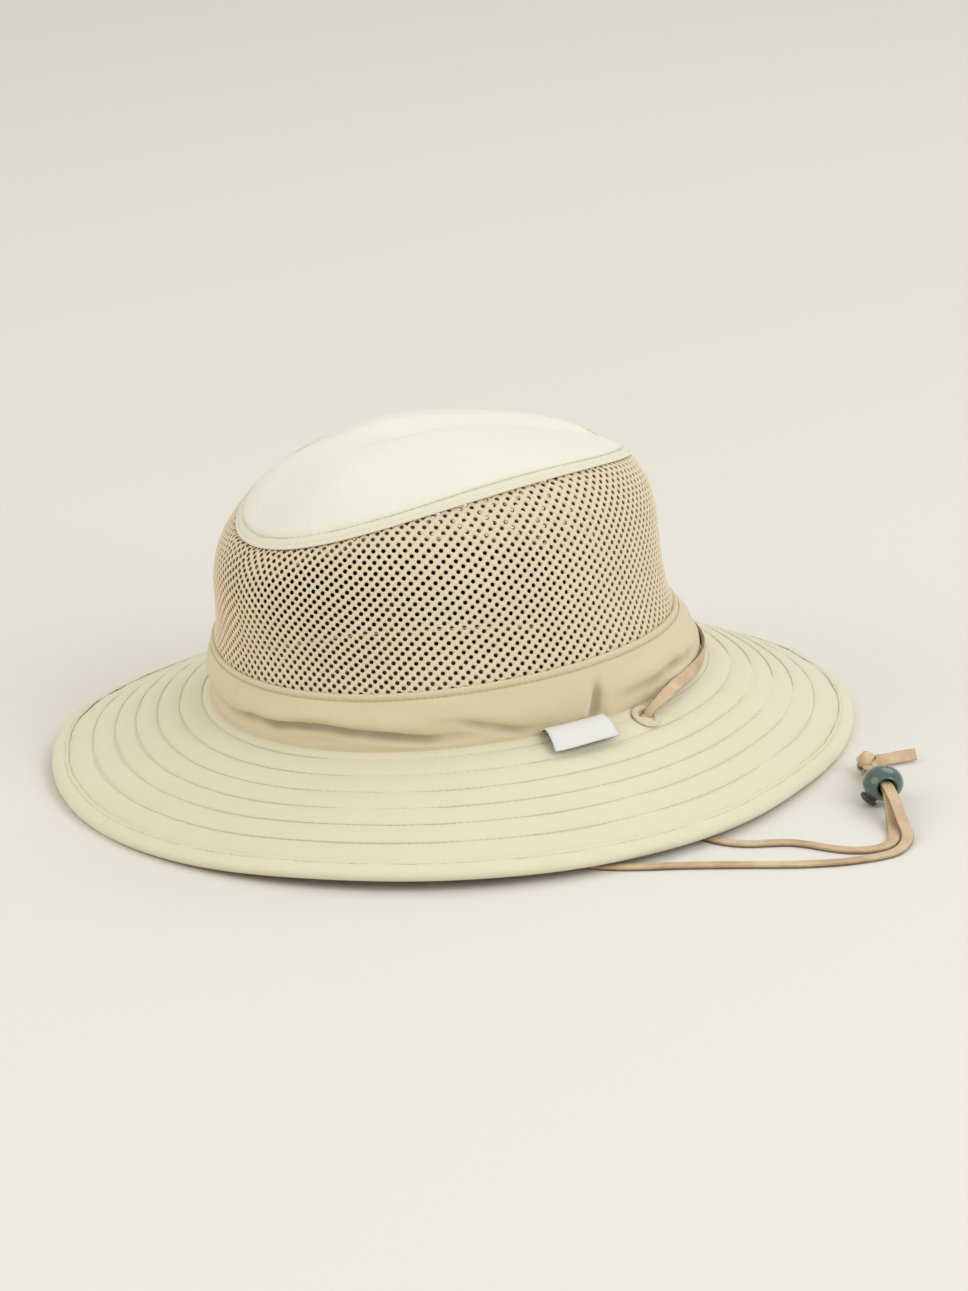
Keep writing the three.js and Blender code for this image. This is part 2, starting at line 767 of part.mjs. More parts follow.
function add(name, geometry, finish) {
  const [color, roughness] = FINISHES[finish];
  const mesh = new THREE.Mesh(geometry, new THREE.MeshStandardMaterial({ color, roughness }));
  mesh.name = name;
  hat.add(mesh);
}

add("brim_upper", brimLayer(0, PLY), "khaki");
add("brim_under", brimLayer(PLY + GAP, BRIM_DEEP), "olive");
add("brim_binding", brimBinding(), "binding");
add("crown_band", crownBand(), "band");
add("mesh_wall", meshWall(), "mesh");
add("crown_top", capSolid(0, CLOTH), "ivory");
add("top_lining", capSolid(CLOTH + GAP, CLOTH + GAP + LINING), "black");
add("sweatband", sweatband(), "black");
add("care_tag", careTag(), "white");
add("brim_label", brimLabel(), "white");
for (const [name, turn] of Object.entries(EYELET_TURNS)) add(name, eyelet(turn), "enamel");
add("lace_left", lace(LACE_LEFT), "leather");
add("lace_right", lace(LACE_RIGHT), "leather");
add("lace_back", lace(laceBackRoute(), true), "leather");
add("lace_tail", lace(LACE_TAIL), "leather");
add("lace_knot", knot(), "leather");
add("toggle_body", toggleBody(), "plastic");
add("toggle_plunger", togglePlunger(), "plastic");

export default hat;
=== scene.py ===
"""Soft sun hat: cloth brim and top, open mesh crown, leather chin lace with a ball toggle."""

import math

import bpy
import numpy as np
from bpy.props import FloatProperty, FloatVectorProperty, PointerProperty
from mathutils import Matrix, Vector


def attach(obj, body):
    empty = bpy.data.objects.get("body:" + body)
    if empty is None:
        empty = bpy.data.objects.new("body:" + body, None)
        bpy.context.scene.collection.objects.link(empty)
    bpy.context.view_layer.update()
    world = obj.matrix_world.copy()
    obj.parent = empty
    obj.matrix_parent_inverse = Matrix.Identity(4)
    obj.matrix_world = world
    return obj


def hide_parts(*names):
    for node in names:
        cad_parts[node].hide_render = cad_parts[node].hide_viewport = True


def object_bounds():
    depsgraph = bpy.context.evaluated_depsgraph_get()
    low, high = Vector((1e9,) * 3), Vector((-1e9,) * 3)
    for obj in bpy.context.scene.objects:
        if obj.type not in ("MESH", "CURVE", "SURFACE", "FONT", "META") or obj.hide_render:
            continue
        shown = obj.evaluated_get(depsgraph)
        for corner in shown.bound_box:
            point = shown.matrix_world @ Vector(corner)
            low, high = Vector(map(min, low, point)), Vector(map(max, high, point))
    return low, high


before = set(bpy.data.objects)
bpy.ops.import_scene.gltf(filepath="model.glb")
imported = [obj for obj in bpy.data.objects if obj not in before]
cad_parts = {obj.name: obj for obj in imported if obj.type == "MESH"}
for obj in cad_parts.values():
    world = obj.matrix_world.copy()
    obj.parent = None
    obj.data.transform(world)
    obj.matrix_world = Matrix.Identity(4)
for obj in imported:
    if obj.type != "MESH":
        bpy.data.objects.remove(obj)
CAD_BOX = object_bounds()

bl_info = {
    "name": "Soft sun hat",
    "version": (1, 0, 0),
    "blender": (4, 5, 0),
    "location": "3D View > Sidebar > Hat",
    "description": "Builds a cloth sun hat with a mesh crown and a chin lace",
    "category": "Object",
}

MM = 0.001
BODY = "hat"

# ---------------------------------------------------------------------------
# Shape of the hat, in millimetres. Turns are in degrees from the front (-Y) towards the wearer's
# left (+X). The two halves match, but for the lower edge on the right, how the crown sinks, the
# band's folds, the label and the lace.
# ---------------------------------------------------------------------------


def rows(columns, *lines):
    """A table as a dict of columns."""
    return {name: np.array([line[i] for line in lines], float) for i, name in enumerate(columns)}


# Rings that the cloth is sewn to: half length, half width, middle, height, and how the height
# falls towards the front and towards both ends.
RING_PARTS = ("length", "width", "middle", "height", "rise", "saddle")
BRIM_SEAM = dict(zip(RING_PARTS, (103.5, 86.5, -3.7, 34.5, 2.6, 1.8)))
BAND_SEAM = dict(zip(RING_PARTS, (96.5, 84.1, -9.5, 58.3, 3.5, 2.4)))
TOP_SEAM = dict(zip(RING_PARTS, (86.5, 54.5, -13.4, 120.0, 6.0, 7.9)))
# How the net wall swells out between its two seams, and how much more near the top.
BELLY = {"length": 3.4, "width": 5.2, "middle": -1.5}
SHOULDER = {"length": 5.9, "width": 4.8}

# How far the band bulges out at the front and at the back, by share up.
BAND_ROLL = rows(
    ("up", "front", "back"),
    (0.0, 0.0, 0.0),
    (0.22, -0.8, 2.2),
    (0.5, 1.3, 2.8),
    (0.76, 1.0, 1.5),
    (1.0, 0.0, 0.0),
)
# The brim's edge: an oval, how far it reaches past that and how far it lifts, by turn, the share of
# the brim's fall that comes late, and the height of its upper face where the lift is 0.
BRIM_OVAL = {"length": 170.7, "width": 144.4, "middle": -3.7}
BRIM_EDGE = rows(
    ("turn", "reach", "lift"),
    (0, -2.5, 0.0),
    (20, -1.4, 1.4),
    (40, 1.0, 4.0),
    (60, 3.1, 4.4),
    (78, 2.2, 3.2),
    (98, 0.2, 2.5),
    (120, -4.4, 1.1),
    (138, -2.6, 0.0),
    (160, 2.6, 1.4),
    (180, 4.9, 2.2),
)
BRIM_CURVE = 0.18
BRIM_EDGE_TOP = 2.24
# The edge on the wearer's right lies lower: by which share, and between which turns it does.
LOW_SIDE = {"share": 0.85, "from": (222.0, 245.0), "to": (322.0, 296.0)}
# The middle line of the top panel from front to back: its height, and how deep the crease lies in
# it.
CREST = rows(
    ("back", "height", "crease"),
    (-99.9, 106.1, 0),
    (-92.7, 115.5, 0),
    (-83.7, 123.5, 0),
    (-68.7, 133.0, 0.2),
    (-48.7, 139.8, 2.0),
    (-28.7, 142.0, 6.5),
    (-11.7, 141.0, 9.5),
    (6.3, 137.9, 10.5),
    (28.3, 133.4, 10.0),
    (48.3, 128.0, 7.0),
    (62.3, 123.2, 3.0),
    (73.1, 118.1, 0),
)
# The ridges on both sides of the crease: how far aside they run, at most and as a share of the half
# width, and how steeply the panel falls past them.
RIDGE = {"side": 16, "share": 0.42, "power": 1.7}
# Two soft dents at the front of the top panel.
TOP_DENTS = ((33.0, -49.7), (-33.0, -49.7))
TOP_DENT = {"radius": 18.0, "deep": 3.0}
# How far the soft crown sinks on the wearer's right, and at the back.
SETTLE_RIGHT = 3.6
SETTLE_BACK = 2.6

# Rows of stitching round the brim, by share of its width.
BRIM_ROWS = (0.064, 0.204, 0.343, 0.476, 0.605, 0.744)
# The eyelets' turns, and how far out from the brim seam they sit.
EYELETS = {"left": 104.9, "right": 255.1}
EYELET_OUT = 6.6

# The lace's centre line: from each eyelet to the knot, round the back between the eyelets, and the
# tail past the knot.
LACE_LEFT = (
    (88.4, 24.6, 35.2), (87.6, 23.7, 29.6), (87.2, 22.6, 25.4), (87.0, 22.0, 18.6),
    (89.0, 21.0, 11.2), (94.4, 19.7, 4.8), (102.0, 18.4, 1.4), (113.0, 17.2, 0.85),
    (125.5, 16.8, 0.85), (137.5, 18.0, 0.85), (146.6, 21.4, 0.85), (152.6, 27.2, 0.85),
    (156.4, 34.0, 0.85), (160.2, 40.4, 0.85), (165.6, 45.2, 0.85), (171.6, 48.7, 0.85),
    (177.0, 52.3, 0.85), (181.2, 56.6, 0.85), (184.0, 61.8, 0.85), (184.8, 67.8, 0.85),
    (182.6, 73.8, 0.85), (176.9, 79.4, 1.0), (169.8, 84.3, 2.6), (162.8, 88.9, 5.9),
    (156.0, 93.4, 8.5), (148.2, 97.1, 8.6), (140.9, 100.5, 8.2), (134.6, 103.5, 6.4),
    (128.6, 106.5, 4.4), (122.9, 110.2, 3.0),
)
LACE_RIGHT = (
    (-89.6, 24.2, 35.2), (-88.3, 23.4, 29.6), (-87.3, 22.6, 25.4), (-86.4, 21.6, 19.4),
    (-85.6, 19.6, 12.0), (-81.5, 17.0, 5.4), (-72.0, 13.6, 1.2), (-53.0, 7.2, 0.95),
    (-20.0, -5.7, 0.9), (20.0, -21.7, 0.85), (55.0, -34.7, 0.85), (85.0, -43.7, 0.85),
    (107.0, -46.0, 0.85), (125.0, -42.0, 0.85), (138.0, -33.5, 0.85), (147.2, -21.5, 0.85),
    (154.8, -8.3, 0.85), (163.0, 4.5, 0.85), (171.6, 17.1, 0.85), (180.0, 29.9, 0.85),
    (185.2, 39.6, 0.85), (188.3, 47.0, 0.85), (190.2, 53.8, 0.85), (191.5, 60.5, 0.85),
    (191.6, 67.4, 0.85), (188.8, 74.3, 0.85), (183.7, 80.7, 2.0), (176.8, 84.0, 4.2),
    (170.3, 86.7, 7.2), (163.4, 89.7, 9.6), (156.0, 93.4, 10.4), (148.2, 97.1, 10.5),
    (140.9, 100.5, 10.2), (134.6, 103.5, 8.4), (128.6, 106.5, 6.4), (122.9, 110.2, 4.9),
)
LACE_BACK_HALF = (
    (88.6, 25.6, 33.6), (88.6, 26.9, 36.0), (88.6, 29.3, 37.9), (88.0, 32.2, 39.2), (84.9, 37.8, 39.8),
    (79.4, 46.2, 40.1), (69.9, 61.1, 39.9), (57.5, 76.1, 39.5), (44.7, 86.8, 39.2),
    (30.7, 94.6, 38.9), (15.4, 99.5, 38.7),
)
LACE_BACK = (
    LACE_BACK_HALF + ((0.0, 101.2, 38.6),) + tuple((-x, y, z) for x, y, z in LACE_BACK_HALF[::-1])
)
LACE_TAIL = (
    (117.8, 117.2, 3.0), (116.7, 121.8, 1.6), (116.5, 127.4, 0.85), (117.3, 132.8, 0.85),
    (118.6, 138.4, 0.85),
)
# The knot and the toggle. Both are aimed along the lace, by a turn from +X. The plunger is pressed
# at a dip under level.
KNOT_CENTRE = (118.7, 113.1, 4.95)
TOGGLE_CENTRE = (148.2, 97.1, 9.55)
TOGGLE_LACE_TURN = 155.0
PLUNGER_DIP = 50.0


def unit(vectors):
    """The same ways, one long."""
    return vectors / np.maximum(np.linalg.norm(vectors, axis=-1, keepdims=True), 1e-9)


def run_along(line):
    """How far each point of a line, or of a grid's lines, is from the line's first."""
    steps = np.linalg.norm(np.diff(line, axis=-2), axis=-1)
    return np.concatenate([np.zeros_like(steps[..., :1]), np.cumsum(steps, axis=-1)], axis=-1)


def length_of(line):
    """How long a line is, or each line of a grid."""
    return np.linalg.norm(np.diff(line, axis=-2), axis=-1).sum(axis=-1)


def smooth(low, high, value):
    """A soft step from 0 at low to 1 at high."""
    t = np.clip((value - low) / (high - low), 0.0, 1.0)
    return t * t * (3 - 2 * t)


def hump(*ways):
    """A soft hump, 1 at its middle. Each way is the distance from the middle and a half width."""
    return np.exp(-sum((distance / width) ** 2 for distance, width in ways))


def even(count):
    """Turns in even steps round the hat."""
    return np.arange(count) * 360.0 / count


def away_from(turn, at):
    """How far a turn is from another one, in degrees, from -180 to 180."""
    return np.mod(turn - at + 180.0, 360.0) - 180.0


def along(table, key, column, at):
    """A smooth value through a table's rows, level past both ends."""
    x, y = table[key], table[column]
    slope = np.empty_like(y)
    slope[1:-1] = (y[2:] - y[:-2]) / (x[2:] - x[:-2])
    slope[0] = (y[1] - y[0]) / (x[1] - x[0])
    slope[-1] = (y[-1] - y[-2]) / (x[-1] - x[-2])
    at = np.clip(at, x[0], x[-1])
    i = np.clip(np.searchsorted(x, at, side="right") - 1, 0, len(x) - 2)
    width = x[i + 1] - x[i]
    t = (at - x[i]) / width
    rise = y[i + 1] - y[i]
    start, end = slope[i] * width, slope[i + 1] * width
    return y[i] + t * (start + t * ((3 * rise - 2 * start - end) + t * (start + end - 2 * rise)))


def mirrored(turn):
    """A turn from 0 to 180 degrees, the same on both halves."""
    t = np.mod(turn, 360.0)
    return np.where(t > 180.0, 360.0 - t, t)


def ring_mix(low, high, t):
    """A ring between two others."""
    return {part: low[part] + (high[part] - low[part]) * t for part in RING_PARTS}


def oval(ring, turn):
    """Points of a ring."""
    a = np.radians(turn)
    x = ring["width"] * np.sin(a)
    y = ring["middle"] - ring["length"] * np.cos(a)
    z = ring["height"] - ring["rise"] * np.cos(a) - ring["saddle"] * np.cos(2 * a)
    return np.stack(np.broadcast_arrays(x, y, z), axis=-1)


def settle(x, y):
    """How far the soft crown sinks at a place of its top."""
    right = SETTLE_RIGHT * smooth(15.0, -30.0, x) * hump((y + 22.0, 64.0))
    return right + SETTLE_BACK * hump((x - 7.0, 17.0), (y - 72.0, 15.0))


def wall_point(turn, up):
    """The mesh wall: 0 at the band seam and 1 at the top seam."""
    ring = ring_mix(BAND_SEAM, TOP_SEAM, up)
    t = np.clip(up, 0, 1)
    belly = 4 * t * (1 - t)
    shoulder = belly * (2 * t - 1)
    ring["length"] = ring["length"] + belly * BELLY["length"] + shoulder * SHOULDER["length"]
    ring["width"] = ring["width"] + belly * BELLY["width"] + shoulder * SHOULDER["width"]
    ring["middle"] = ring["middle"] + belly * BELLY["middle"]
    p = oval(ring, turn)
    p[..., 2] -= settle(p[..., 0], p[..., 1]) * smooth(0.35, 1.0, up)
    return p


def plain_band_point(turn, up):
    """The crown band without its roll."""
    return oval(ring_mix(BRIM_SEAM, BAND_SEAM, up), turn)


def band_point(turn, up):
    """The crown band: 0 at the brim seam and 1 at the band seam."""
    ring = ring_mix(BRIM_SEAM, BAND_SEAM, up)
    backness = (1 - np.cos(np.radians(turn))) / 2
    front = along(BAND_ROLL, "up", "front", up)
    roll = front + (along(BAND_ROLL, "up", "back", up) - front) * backness
    ring["length"] = ring["length"] + roll
    ring["width"] = ring["width"] + roll
    return oval(ring, turn)


def brim_point(turn, out):
    """Upper face of the brim: 0 at the brim seam and 1 at the very edge."""
    a = np.radians(turn)
    reach = along(BRIM_EDGE, "turn", "reach", mirrored(turn))
    lift = along(BRIM_EDGE, "turn", "lift", mirrored(turn))
    low = smooth(*LOW_SIDE["from"], turn) * smooth(*LOW_SIDE["to"], turn)
    lift = lift * (1 - LOW_SIDE["share"] * low)
    seam = oval(BRIM_SEAM, turn)
    edge_x = (BRIM_OVAL["width"] + reach) * np.sin(a)
    edge_y = BRIM_OVAL["middle"] - (BRIM_OVAL["length"] + reach) * np.cos(a)
    edge_z = lift + BRIM_EDGE_TOP
    fall = out * (1 - BRIM_CURVE) + out * out * BRIM_CURVE
    x = seam[..., 0] + (edge_x - seam[..., 0]) * out
    y = seam[..., 1] + (edge_y - seam[..., 1]) * out
    z = seam[..., 2] + (edge_z - seam[..., 2]) * fall
    return np.stack(np.broadcast_arrays(x, y, z), axis=-1)


def brim_slant(turn):
    """Width of the brim along its slope."""
    return np.linalg.norm(brim_point(turn, 1.0) - brim_point(turn, 0.0), axis=-1)


def top_height(x, y):
    """Height of the top panel: it falls from its crest to its seam, with a crease down its middle."""
    cosine = np.clip((TOP_SEAM["middle"] - y) / TOP_SEAM["length"], -1, 1)
    half = TOP_SEAM["width"] * np.sqrt(1 - cosine * cosine)
    seam = TOP_SEAM["height"] - TOP_SEAM["rise"] * cosine
    seam = seam - TOP_SEAM["saddle"] * (2 * cosine * cosine - 1)
    crest = along(CREST, "back", "height", y)
    crease = along(CREST, "back", "crease", y)
    ridge = np.maximum(np.minimum(RIDGE["side"], RIDGE["share"] * half), 0.01)
    aside = np.abs(x)
    past = np.clip((aside - ridge) / np.maximum(half - ridge, 0.01), 0, 1)
    bowl = np.cos(np.clip(aside / ridge, 0, 1) * math.pi / 2) ** 2
    z = crest + (seam - crest) * past ** RIDGE["power"] - crease * bowl
    radius = TOP_DENT["radius"]
    dents = sum(hump((x - at_x, radius), (y - at_y, radius)) for at_x, at_y in TOP_DENTS)
    return z - TOP_DENT["deep"] * dents * (1 - past**4)


def top_point(turn, out):
    """Top panel: 0 at its middle and 1 at its seam."""
    edge = oval(TOP_SEAM, turn)
    x = edge[..., 0] * out
    y = TOP_SEAM["middle"] + (edge[..., 1] - TOP_SEAM["middle"]) * out
    z = np.where(out > 0.9999, edge[..., 2], top_height(x, y)) - settle(x, y)
    return np.stack(np.broadcast_arrays(x, y, z), axis=-1)


# Surfaces whose normals the cross product gives upside down, and the steps that it is taken over.
LYING = (brim_point, top_point)
TURN_STEP = 0.4
SHARE_STEP = 0.006


def normals(surface, turn, share):
    """Outer normals of a surface."""
    around = surface(turn + TURN_STEP, share) - surface(turn - TURN_STEP, share)
    outwards = surface(turn, share + SHARE_STEP) - surface(turn, share - SHARE_STEP)
    normal = unit(np.cross(around, outwards))
    return -normal if surface in LYING else normal


def ripple(turn, *waves):
    """A sum of waves round the hat: (times round, phase in degrees, height)."""
    a = np.radians(turn)
    return sum(high * np.sin(count * a + math.radians(phase)) for count, phase, high in waves)


# ---------------------------------------------------------------------------
# Meshes
# ---------------------------------------------------------------------------


def weave_map(u, v):
    """UVs in metres from two grids in millimetres, one pair for each point."""
    return np.stack(np.broadcast_arrays(u, v), axis=-1).reshape(-1, 2) * MM


def new_object(name, verts, faces, uvs=None):
    """A smooth object from millimetre points."""
    mesh = bpy.data.meshes.new(name)
    mesh.from_pydata((np.asarray(verts) * MM).tolist(), [], faces)
    mesh.shade_smooth()
    if uvs is not None:
        layer = mesh.uv_layers.new(name="Weave")
        index = np.empty(len(mesh.loops), int)
        mesh.loops.foreach_get("vertex_index", index)
        layer.data.foreach_set("uv", np.asarray(uvs)[index].ravel())
    mesh.validate()
    return linked(name, mesh)


def linked(name, data):
    """An object in the scene."""
    obj = bpy.data.objects.new(name, data)
    bpy.context.scene.collection.objects.link(obj)
    return obj


def evaluated(obj):
    """The plain mesh that an object's modifiers make."""
    bpy.context.view_layer.update()
    depsgraph = bpy.context.evaluated_depsgraph_get()
    return bpy.data.meshes.new_from_object(obj.evaluated_get(depsgraph))


def grid_faces(count, size, ring=True, loop=True):
    """Quads between `count` sections of `size` points. In a ring the last section joins the first,
    and in a loop each section's last point joins its first."""
    sections, points = np.arange(count if ring else count - 1), np.arange(size if loop else size - 1)
    i, k = np.meshgrid(sections, points, indexing="ij")
    j, m = (i + 1) % count, (k + 1) % size
    quads = np.stack([i * size + k, j * size + k, j * size + m, i * size + m], axis=-1)
    return quads.reshape(-1, 4).tolist()


def facing_out(obj):
    """Turns a closed mesh's faces outwards, by the sign of its volume."""
    mesh = obj.data
    mesh.calc_loop_triangles()
    tris = np.empty(len(mesh.loop_triangles) * 3, int)
    mesh.loop_triangles.foreach_get("vertices", tris)
    co = np.empty(len(mesh.vertices) * 3)
    mesh.vertices.foreach_get("co", co)
    p = co.reshape(-1, 3)[tris.reshape(-1, 3)]
    if np.einsum("ij,ij->i", p[:, 0], np.cross(p[:, 1], p[:, 2])).sum() < 0:
        mesh.flip_normals()
    return obj


def thinned(columns, step):
    """Every step-th column of a grid, with the last one kept."""
    kept = list(range(0, columns.shape[1], step))
    if kept[-1] != columns.shape[1] - 1:
        kept.append(columns.shape[1] - 1)
    return columns[:, kept]


def ring_shell(name, surface, columns, shares, outer, inner, outer_step=1, inner_step=1, flat=False):
    """A closed cloth ring. outer and inner give the depths under the surface at (turn, share,
    point), and the rims between them are rounded. A side's step thins out its points from rim to
    rim. UVs run along the ring and across it, or over the plan if the cloth is cut flat."""
    t, s = np.broadcast_arrays(even(columns)[:, None], np.asarray(shares)[None, :])
    p, n = surface(t, s), normals(surface, t, s)
    over = thinned(p - n * outer(t, s, p)[..., None], outer_step)
    under = thinned(p - n * inner(t, s, p)[..., None], inner_step)
    far, near = rim_points(over, under, -1), rim_points(under, over, 0)
    ring = np.concatenate([over, *far, under[:, ::-1], *near], axis=1)
    if flat:
        uvs = weave_map(ring[..., 0], ring[..., 1])
    else:
        uvs = weave_map(run_along(over[:, over.shape[1] // 2])[:, None], run_along(ring))
    faces = grid_faces(columns, ring.shape[1])
    return facing_out(new_object(name, ring.reshape(-1, 3), faces, uvs))


def at_depth(depth):
    """A side of a cloth that lies at one depth all over."""
    return lambda turn, share, point: np.full(np.shape(turn), depth)


RIM_POINTS = 3
RIM_BULGE = 0.6


def rim_points(from_side, to_side, column):
    """Points of a rounded rim between two faces of a cloth, past their column's edge."""
    a, b = from_side[:, column], to_side[:, column]
    out = unit(a - from_side[:, -2 if column == -1 else 1])
    middle, half = (a + b) / 2, (a - b) / 2
    bulge = out * np.linalg.norm(half, axis=-1, keepdims=True) * RIM_BULGE
    angles = [math.pi * (i + 1) / (RIM_POINTS + 1) for i in range(RIM_POINTS)]
    return [(middle + half * math.cos(q) + bulge * math.sin(q))[:, None] for q in angles]


def give(obj, material, slot, *nodes, body=BODY):
    """Finishes a piece: its material, its body, and the CAD nodes that it stands for. The slot is not
    used.
    Without a material it keeps those that it has."""
    if material is not None:
        obj.data.materials.clear()
        obj.data.materials.append(material)
    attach(obj, body)
    if nodes:
        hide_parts(*nodes)
    return obj


# ---------------------------------------------------------------------------
# Node trees
# ---------------------------------------------------------------------------


class Value:
    """An output of a node tree. Arithmetic on a number adds Math nodes."""

    def __init__(self, tree, socket):
        self.tree = tree
        self.socket = socket

    def math(self, operation, *values):
        return self.tree.node("ShaderNodeMath", {"operation": operation}, dict(enumerate(values)))

    def __add__(self, other):
        return self.math("ADD", self, other)

    __radd__ = __add__

    def __sub__(self, other):
        return self.math("SUBTRACT", self, other)

    def __rsub__(self, other):
        return self.math("SUBTRACT", other, self)

    def __mul__(self, other):
        return self.math("MULTIPLY", self, other)

    __rmul__ = __mul__

    def sin(self):
        return self.math("SINE", self)

    def clamp(self):
        return self.tree.node("ShaderNodeClamp", {}, {"Value": self})


class Tree:
    """A node tree, of a material or of a modifier."""

    def __init__(self, nodes):
        self.nodes = nodes

    def node(self, kind, settings=None, inputs=None, output=0):
        """Adds a node: its settings are set first, and then its sockets, by name or by number.
        Gives one of its outputs, or the node itself if output is None."""
        node = self.nodes.nodes.new(kind)
        for name, value in (settings or {}).items():
            setattr(node, name, value)
        for name, value in (inputs or {}).items():
            self.feed(node.inputs[name], value)
        return node if output is None else Value(self, node.outputs[output])

    def vector(self, operation, *values, **named):
        """A Vector Math node."""
        inputs = {**dict(enumerate(values)), **named}
        return self.node("ShaderNodeVectorMath", {"operation": operation}, inputs)

    def feed(self, socket, value):
        """Links a value to a socket, or sets the socket to it."""
        if isinstance(value, Value):
            self.nodes.links.new(value.socket, socket)
        elif isinstance(value, bpy.types.NodeSocket):
            self.nodes.links.new(value, socket)
        else:
            socket.default_value = value


class Finish(Tree):
    """A material under construction."""

    def __init__(self, name):
        self.material = bpy.data.materials.new(name)
        self.material.use_nodes = True
        super().__init__(self.material.node_tree)
        self.nodes.nodes.clear()

    def place(self):
        return self.node("ShaderNodeTexCoord", output="Object")

    def weave_uv(self):
        return self.node("ShaderNodeUVMap", {"uv_map": "Weave"})

    def parts(self, vector):
        split = self.node("ShaderNodeSeparateXYZ", {}, {0: vector}, output=None)
        return [Value(self, split.outputs[i]) for i in range(3)]

    def noise(self, vector, scale, detail=2.0, rough=0.5):
        inputs = {"Vector": vector, "Scale": scale, "Detail": detail, "Roughness": rough}
        return self.node("ShaderNodeTexNoise", {}, inputs)

    def blend(self, factor, a, b):
        """A Mix node for colours: a at factor 0 and b at factor 1."""
        inputs = {0: factor, 6: colour(a), 7: colour(b)}
        return self.node("ShaderNodeMix", {"data_type": "RGBA"}, inputs, output=2)

    def finish(self, base, roughness, height=None, bump_mm=0.1, **constants):
        """Closes the material with a Principled shader. The constants name its other sockets."""
        inputs = {"Base Color": colour(base), "Roughness": roughness}
        inputs.update({name.replace("_", " "): value for name, value in constants.items()})
        if height is not None:
            bump = {"Height": height, "Distance": bump_mm * MM, "Strength": 1.0}
            inputs["Normal"] = self.node("ShaderNodeBump", {}, bump)
        shader = self.node("ShaderNodeBsdfPrincipled", {}, inputs)
        self.node("ShaderNodeOutputMaterial", {}, {"Surface": shader}, output=None)
        return self.material


def colour(value):
    """What a colour socket takes: a link, or a colour with an alpha of 1."""
    return value if isinstance(value, Value) else (*tuple(value)[:3], 1.0)


def shade(value, factor):
    """A colour made lighter or darker."""
    return tuple(min(1.0, c * factor) for c in tuple(value)[:3])


MATERIALS = {}
# The way round the lace's section on its UVs.
LACE_GIRTH = 11.6 * MM


def made_once(build):
    """Lets pieces share a material: it is built when its name is first asked for."""

    def find(name, *values, **settings):
        if name not in MATERIALS:
            MATERIALS[name] = build(Finish(name), *values, **settings)
        return MATERIALS[name]

    return find


@made_once
def cloth(
    f, base, thread=0.42, contrast=0.1, bump=0.05, mottle=0.06, sheen=0.15, painted_shade=0.0, shade_tone=None
):
    """Plain woven cloth: crossing threads on the Weave map, slubs, and slow changes of tone. Where a
    point attribute marks a crease or a hem, painted shade blends the colour that far towards a shade
    tone."""
    u, v, _ = f.parts(f.weave_uv())
    turns = math.pi / (thread * MM)
    weave = ((u * turns).sin() * (v * turns).sin()) * 0.5 + 0.5
    slub = f.noise(f.place(), 900.0, 3.0)
    slow = f.noise(f.place(), 28.0, 3.0, 0.6)
    tone = (weave * contrast + (slub - 0.5) * contrast + (slow - 0.5) * (2 * mottle)) + 0.5
    spread = contrast * 1.6
    base_colour = f.blend(tone.clamp(), shade(base, 1 - spread), shade(base, 1 + spread))
    # Painted shade: points that the attribute marks in creases and hems go towards the shade tone, by
    # default a darker copy of the cloth.
    if painted_shade:
        shade_share = f.node("ShaderNodeAttribute", {"attribute_name": "PaintedShade"}, output=2) * painted_shade
        base_colour = f.blend(shade_share, base_colour, shade_tone or shade(base, 0.35))
    height = weave * 0.7 + slub * 0.5
    looks = {"Sheen_Weight": sheen, "Specular_IOR_Level": 0.25}
    return f.finish(base_colour, slub * 0.08 + 0.86, height, bump, **looks)


def black_cloth(look):
    return cloth("black cloth", look.black, thread=0.6, contrast=0.18, bump=0.12, sheen=0.4)


def tape(look):
    return cloth("label tape", look.label, thread=0.3, contrast=0.05, bump=0.03, mottle=0.02)


@made_once
def thread_material(f, base):
    """Sewing thread: plied strands along its length, with a low gloss."""
    fine = f.noise(f.place(), 2600.0, 2.0)
    base_colour = f.blend(fine, shade(base, 0.8), shade(base, 1.15))
    return f.finish(base_colour, fine * 0.15 + 0.6, fine, 0.03, Sheen_Weight=0.2)


@made_once
def leather(f, base):
    """Undyed thong: smooth, pale face; painted shade browns its other face and its cut edges."""
    u, v, _ = f.parts(f.weave_uv())
    grain_place = f.node("ShaderNodeCombineXYZ", {}, {0: u * 0.25, 1: v, 2: 0.0})
    grain = f.noise(grain_place, 1400.0, 4.0, 0.6)
    pores = f.noise(f.place(), 2200.0, 2.0)
    slow = f.noise(f.place(), 60.0, 3.0, 0.6)
    tone = ((grain - 0.5) * 0.6 + (slow - 0.5) * 2.4 + 0.56).clamp()
    face = f.blend(tone, (base[0] * 0.78, base[1] * 0.67, base[2] * 0.58), shade(base, 1.18))
    # Painted shade: the other face and the cut edges are made brown, as if turned away from the light.
    shaded_face = f.blend(tone, (base[0] * 0.30, base[1] * 0.19, base[2] * 0.14), shade(base, 0.5))
    side = ((v * (2 * math.pi / LACE_GIRTH)).sin() * 4.0 - 0.6 + (grain - 0.5)).clamp()
    base_colour = f.blend(side, shaded_face, face)
    height = grain * 0.7 + pores * 0.5
    return f.finish(base_colour, grain * 0.2 + 0.42, height, 0.10, Specular_IOR_Level=0.4)


@made_once
def plastic(f, base, rough):
    """Moulded plastic: glossy, with faint flow marks and handling scratches."""
    flow = f.noise(f.place(), 160.0, 3.0, 0.6)
    fine = f.noise(f.place(), 1800.0, 2.0)
    base_colour = f.blend(flow, shade(base, 0.75), shade(base, 1.35))
    return f.finish(base_colour, fine * 0.08 + flow * 0.08 + rough, fine, 0.004, Coat_Weight=0.5)


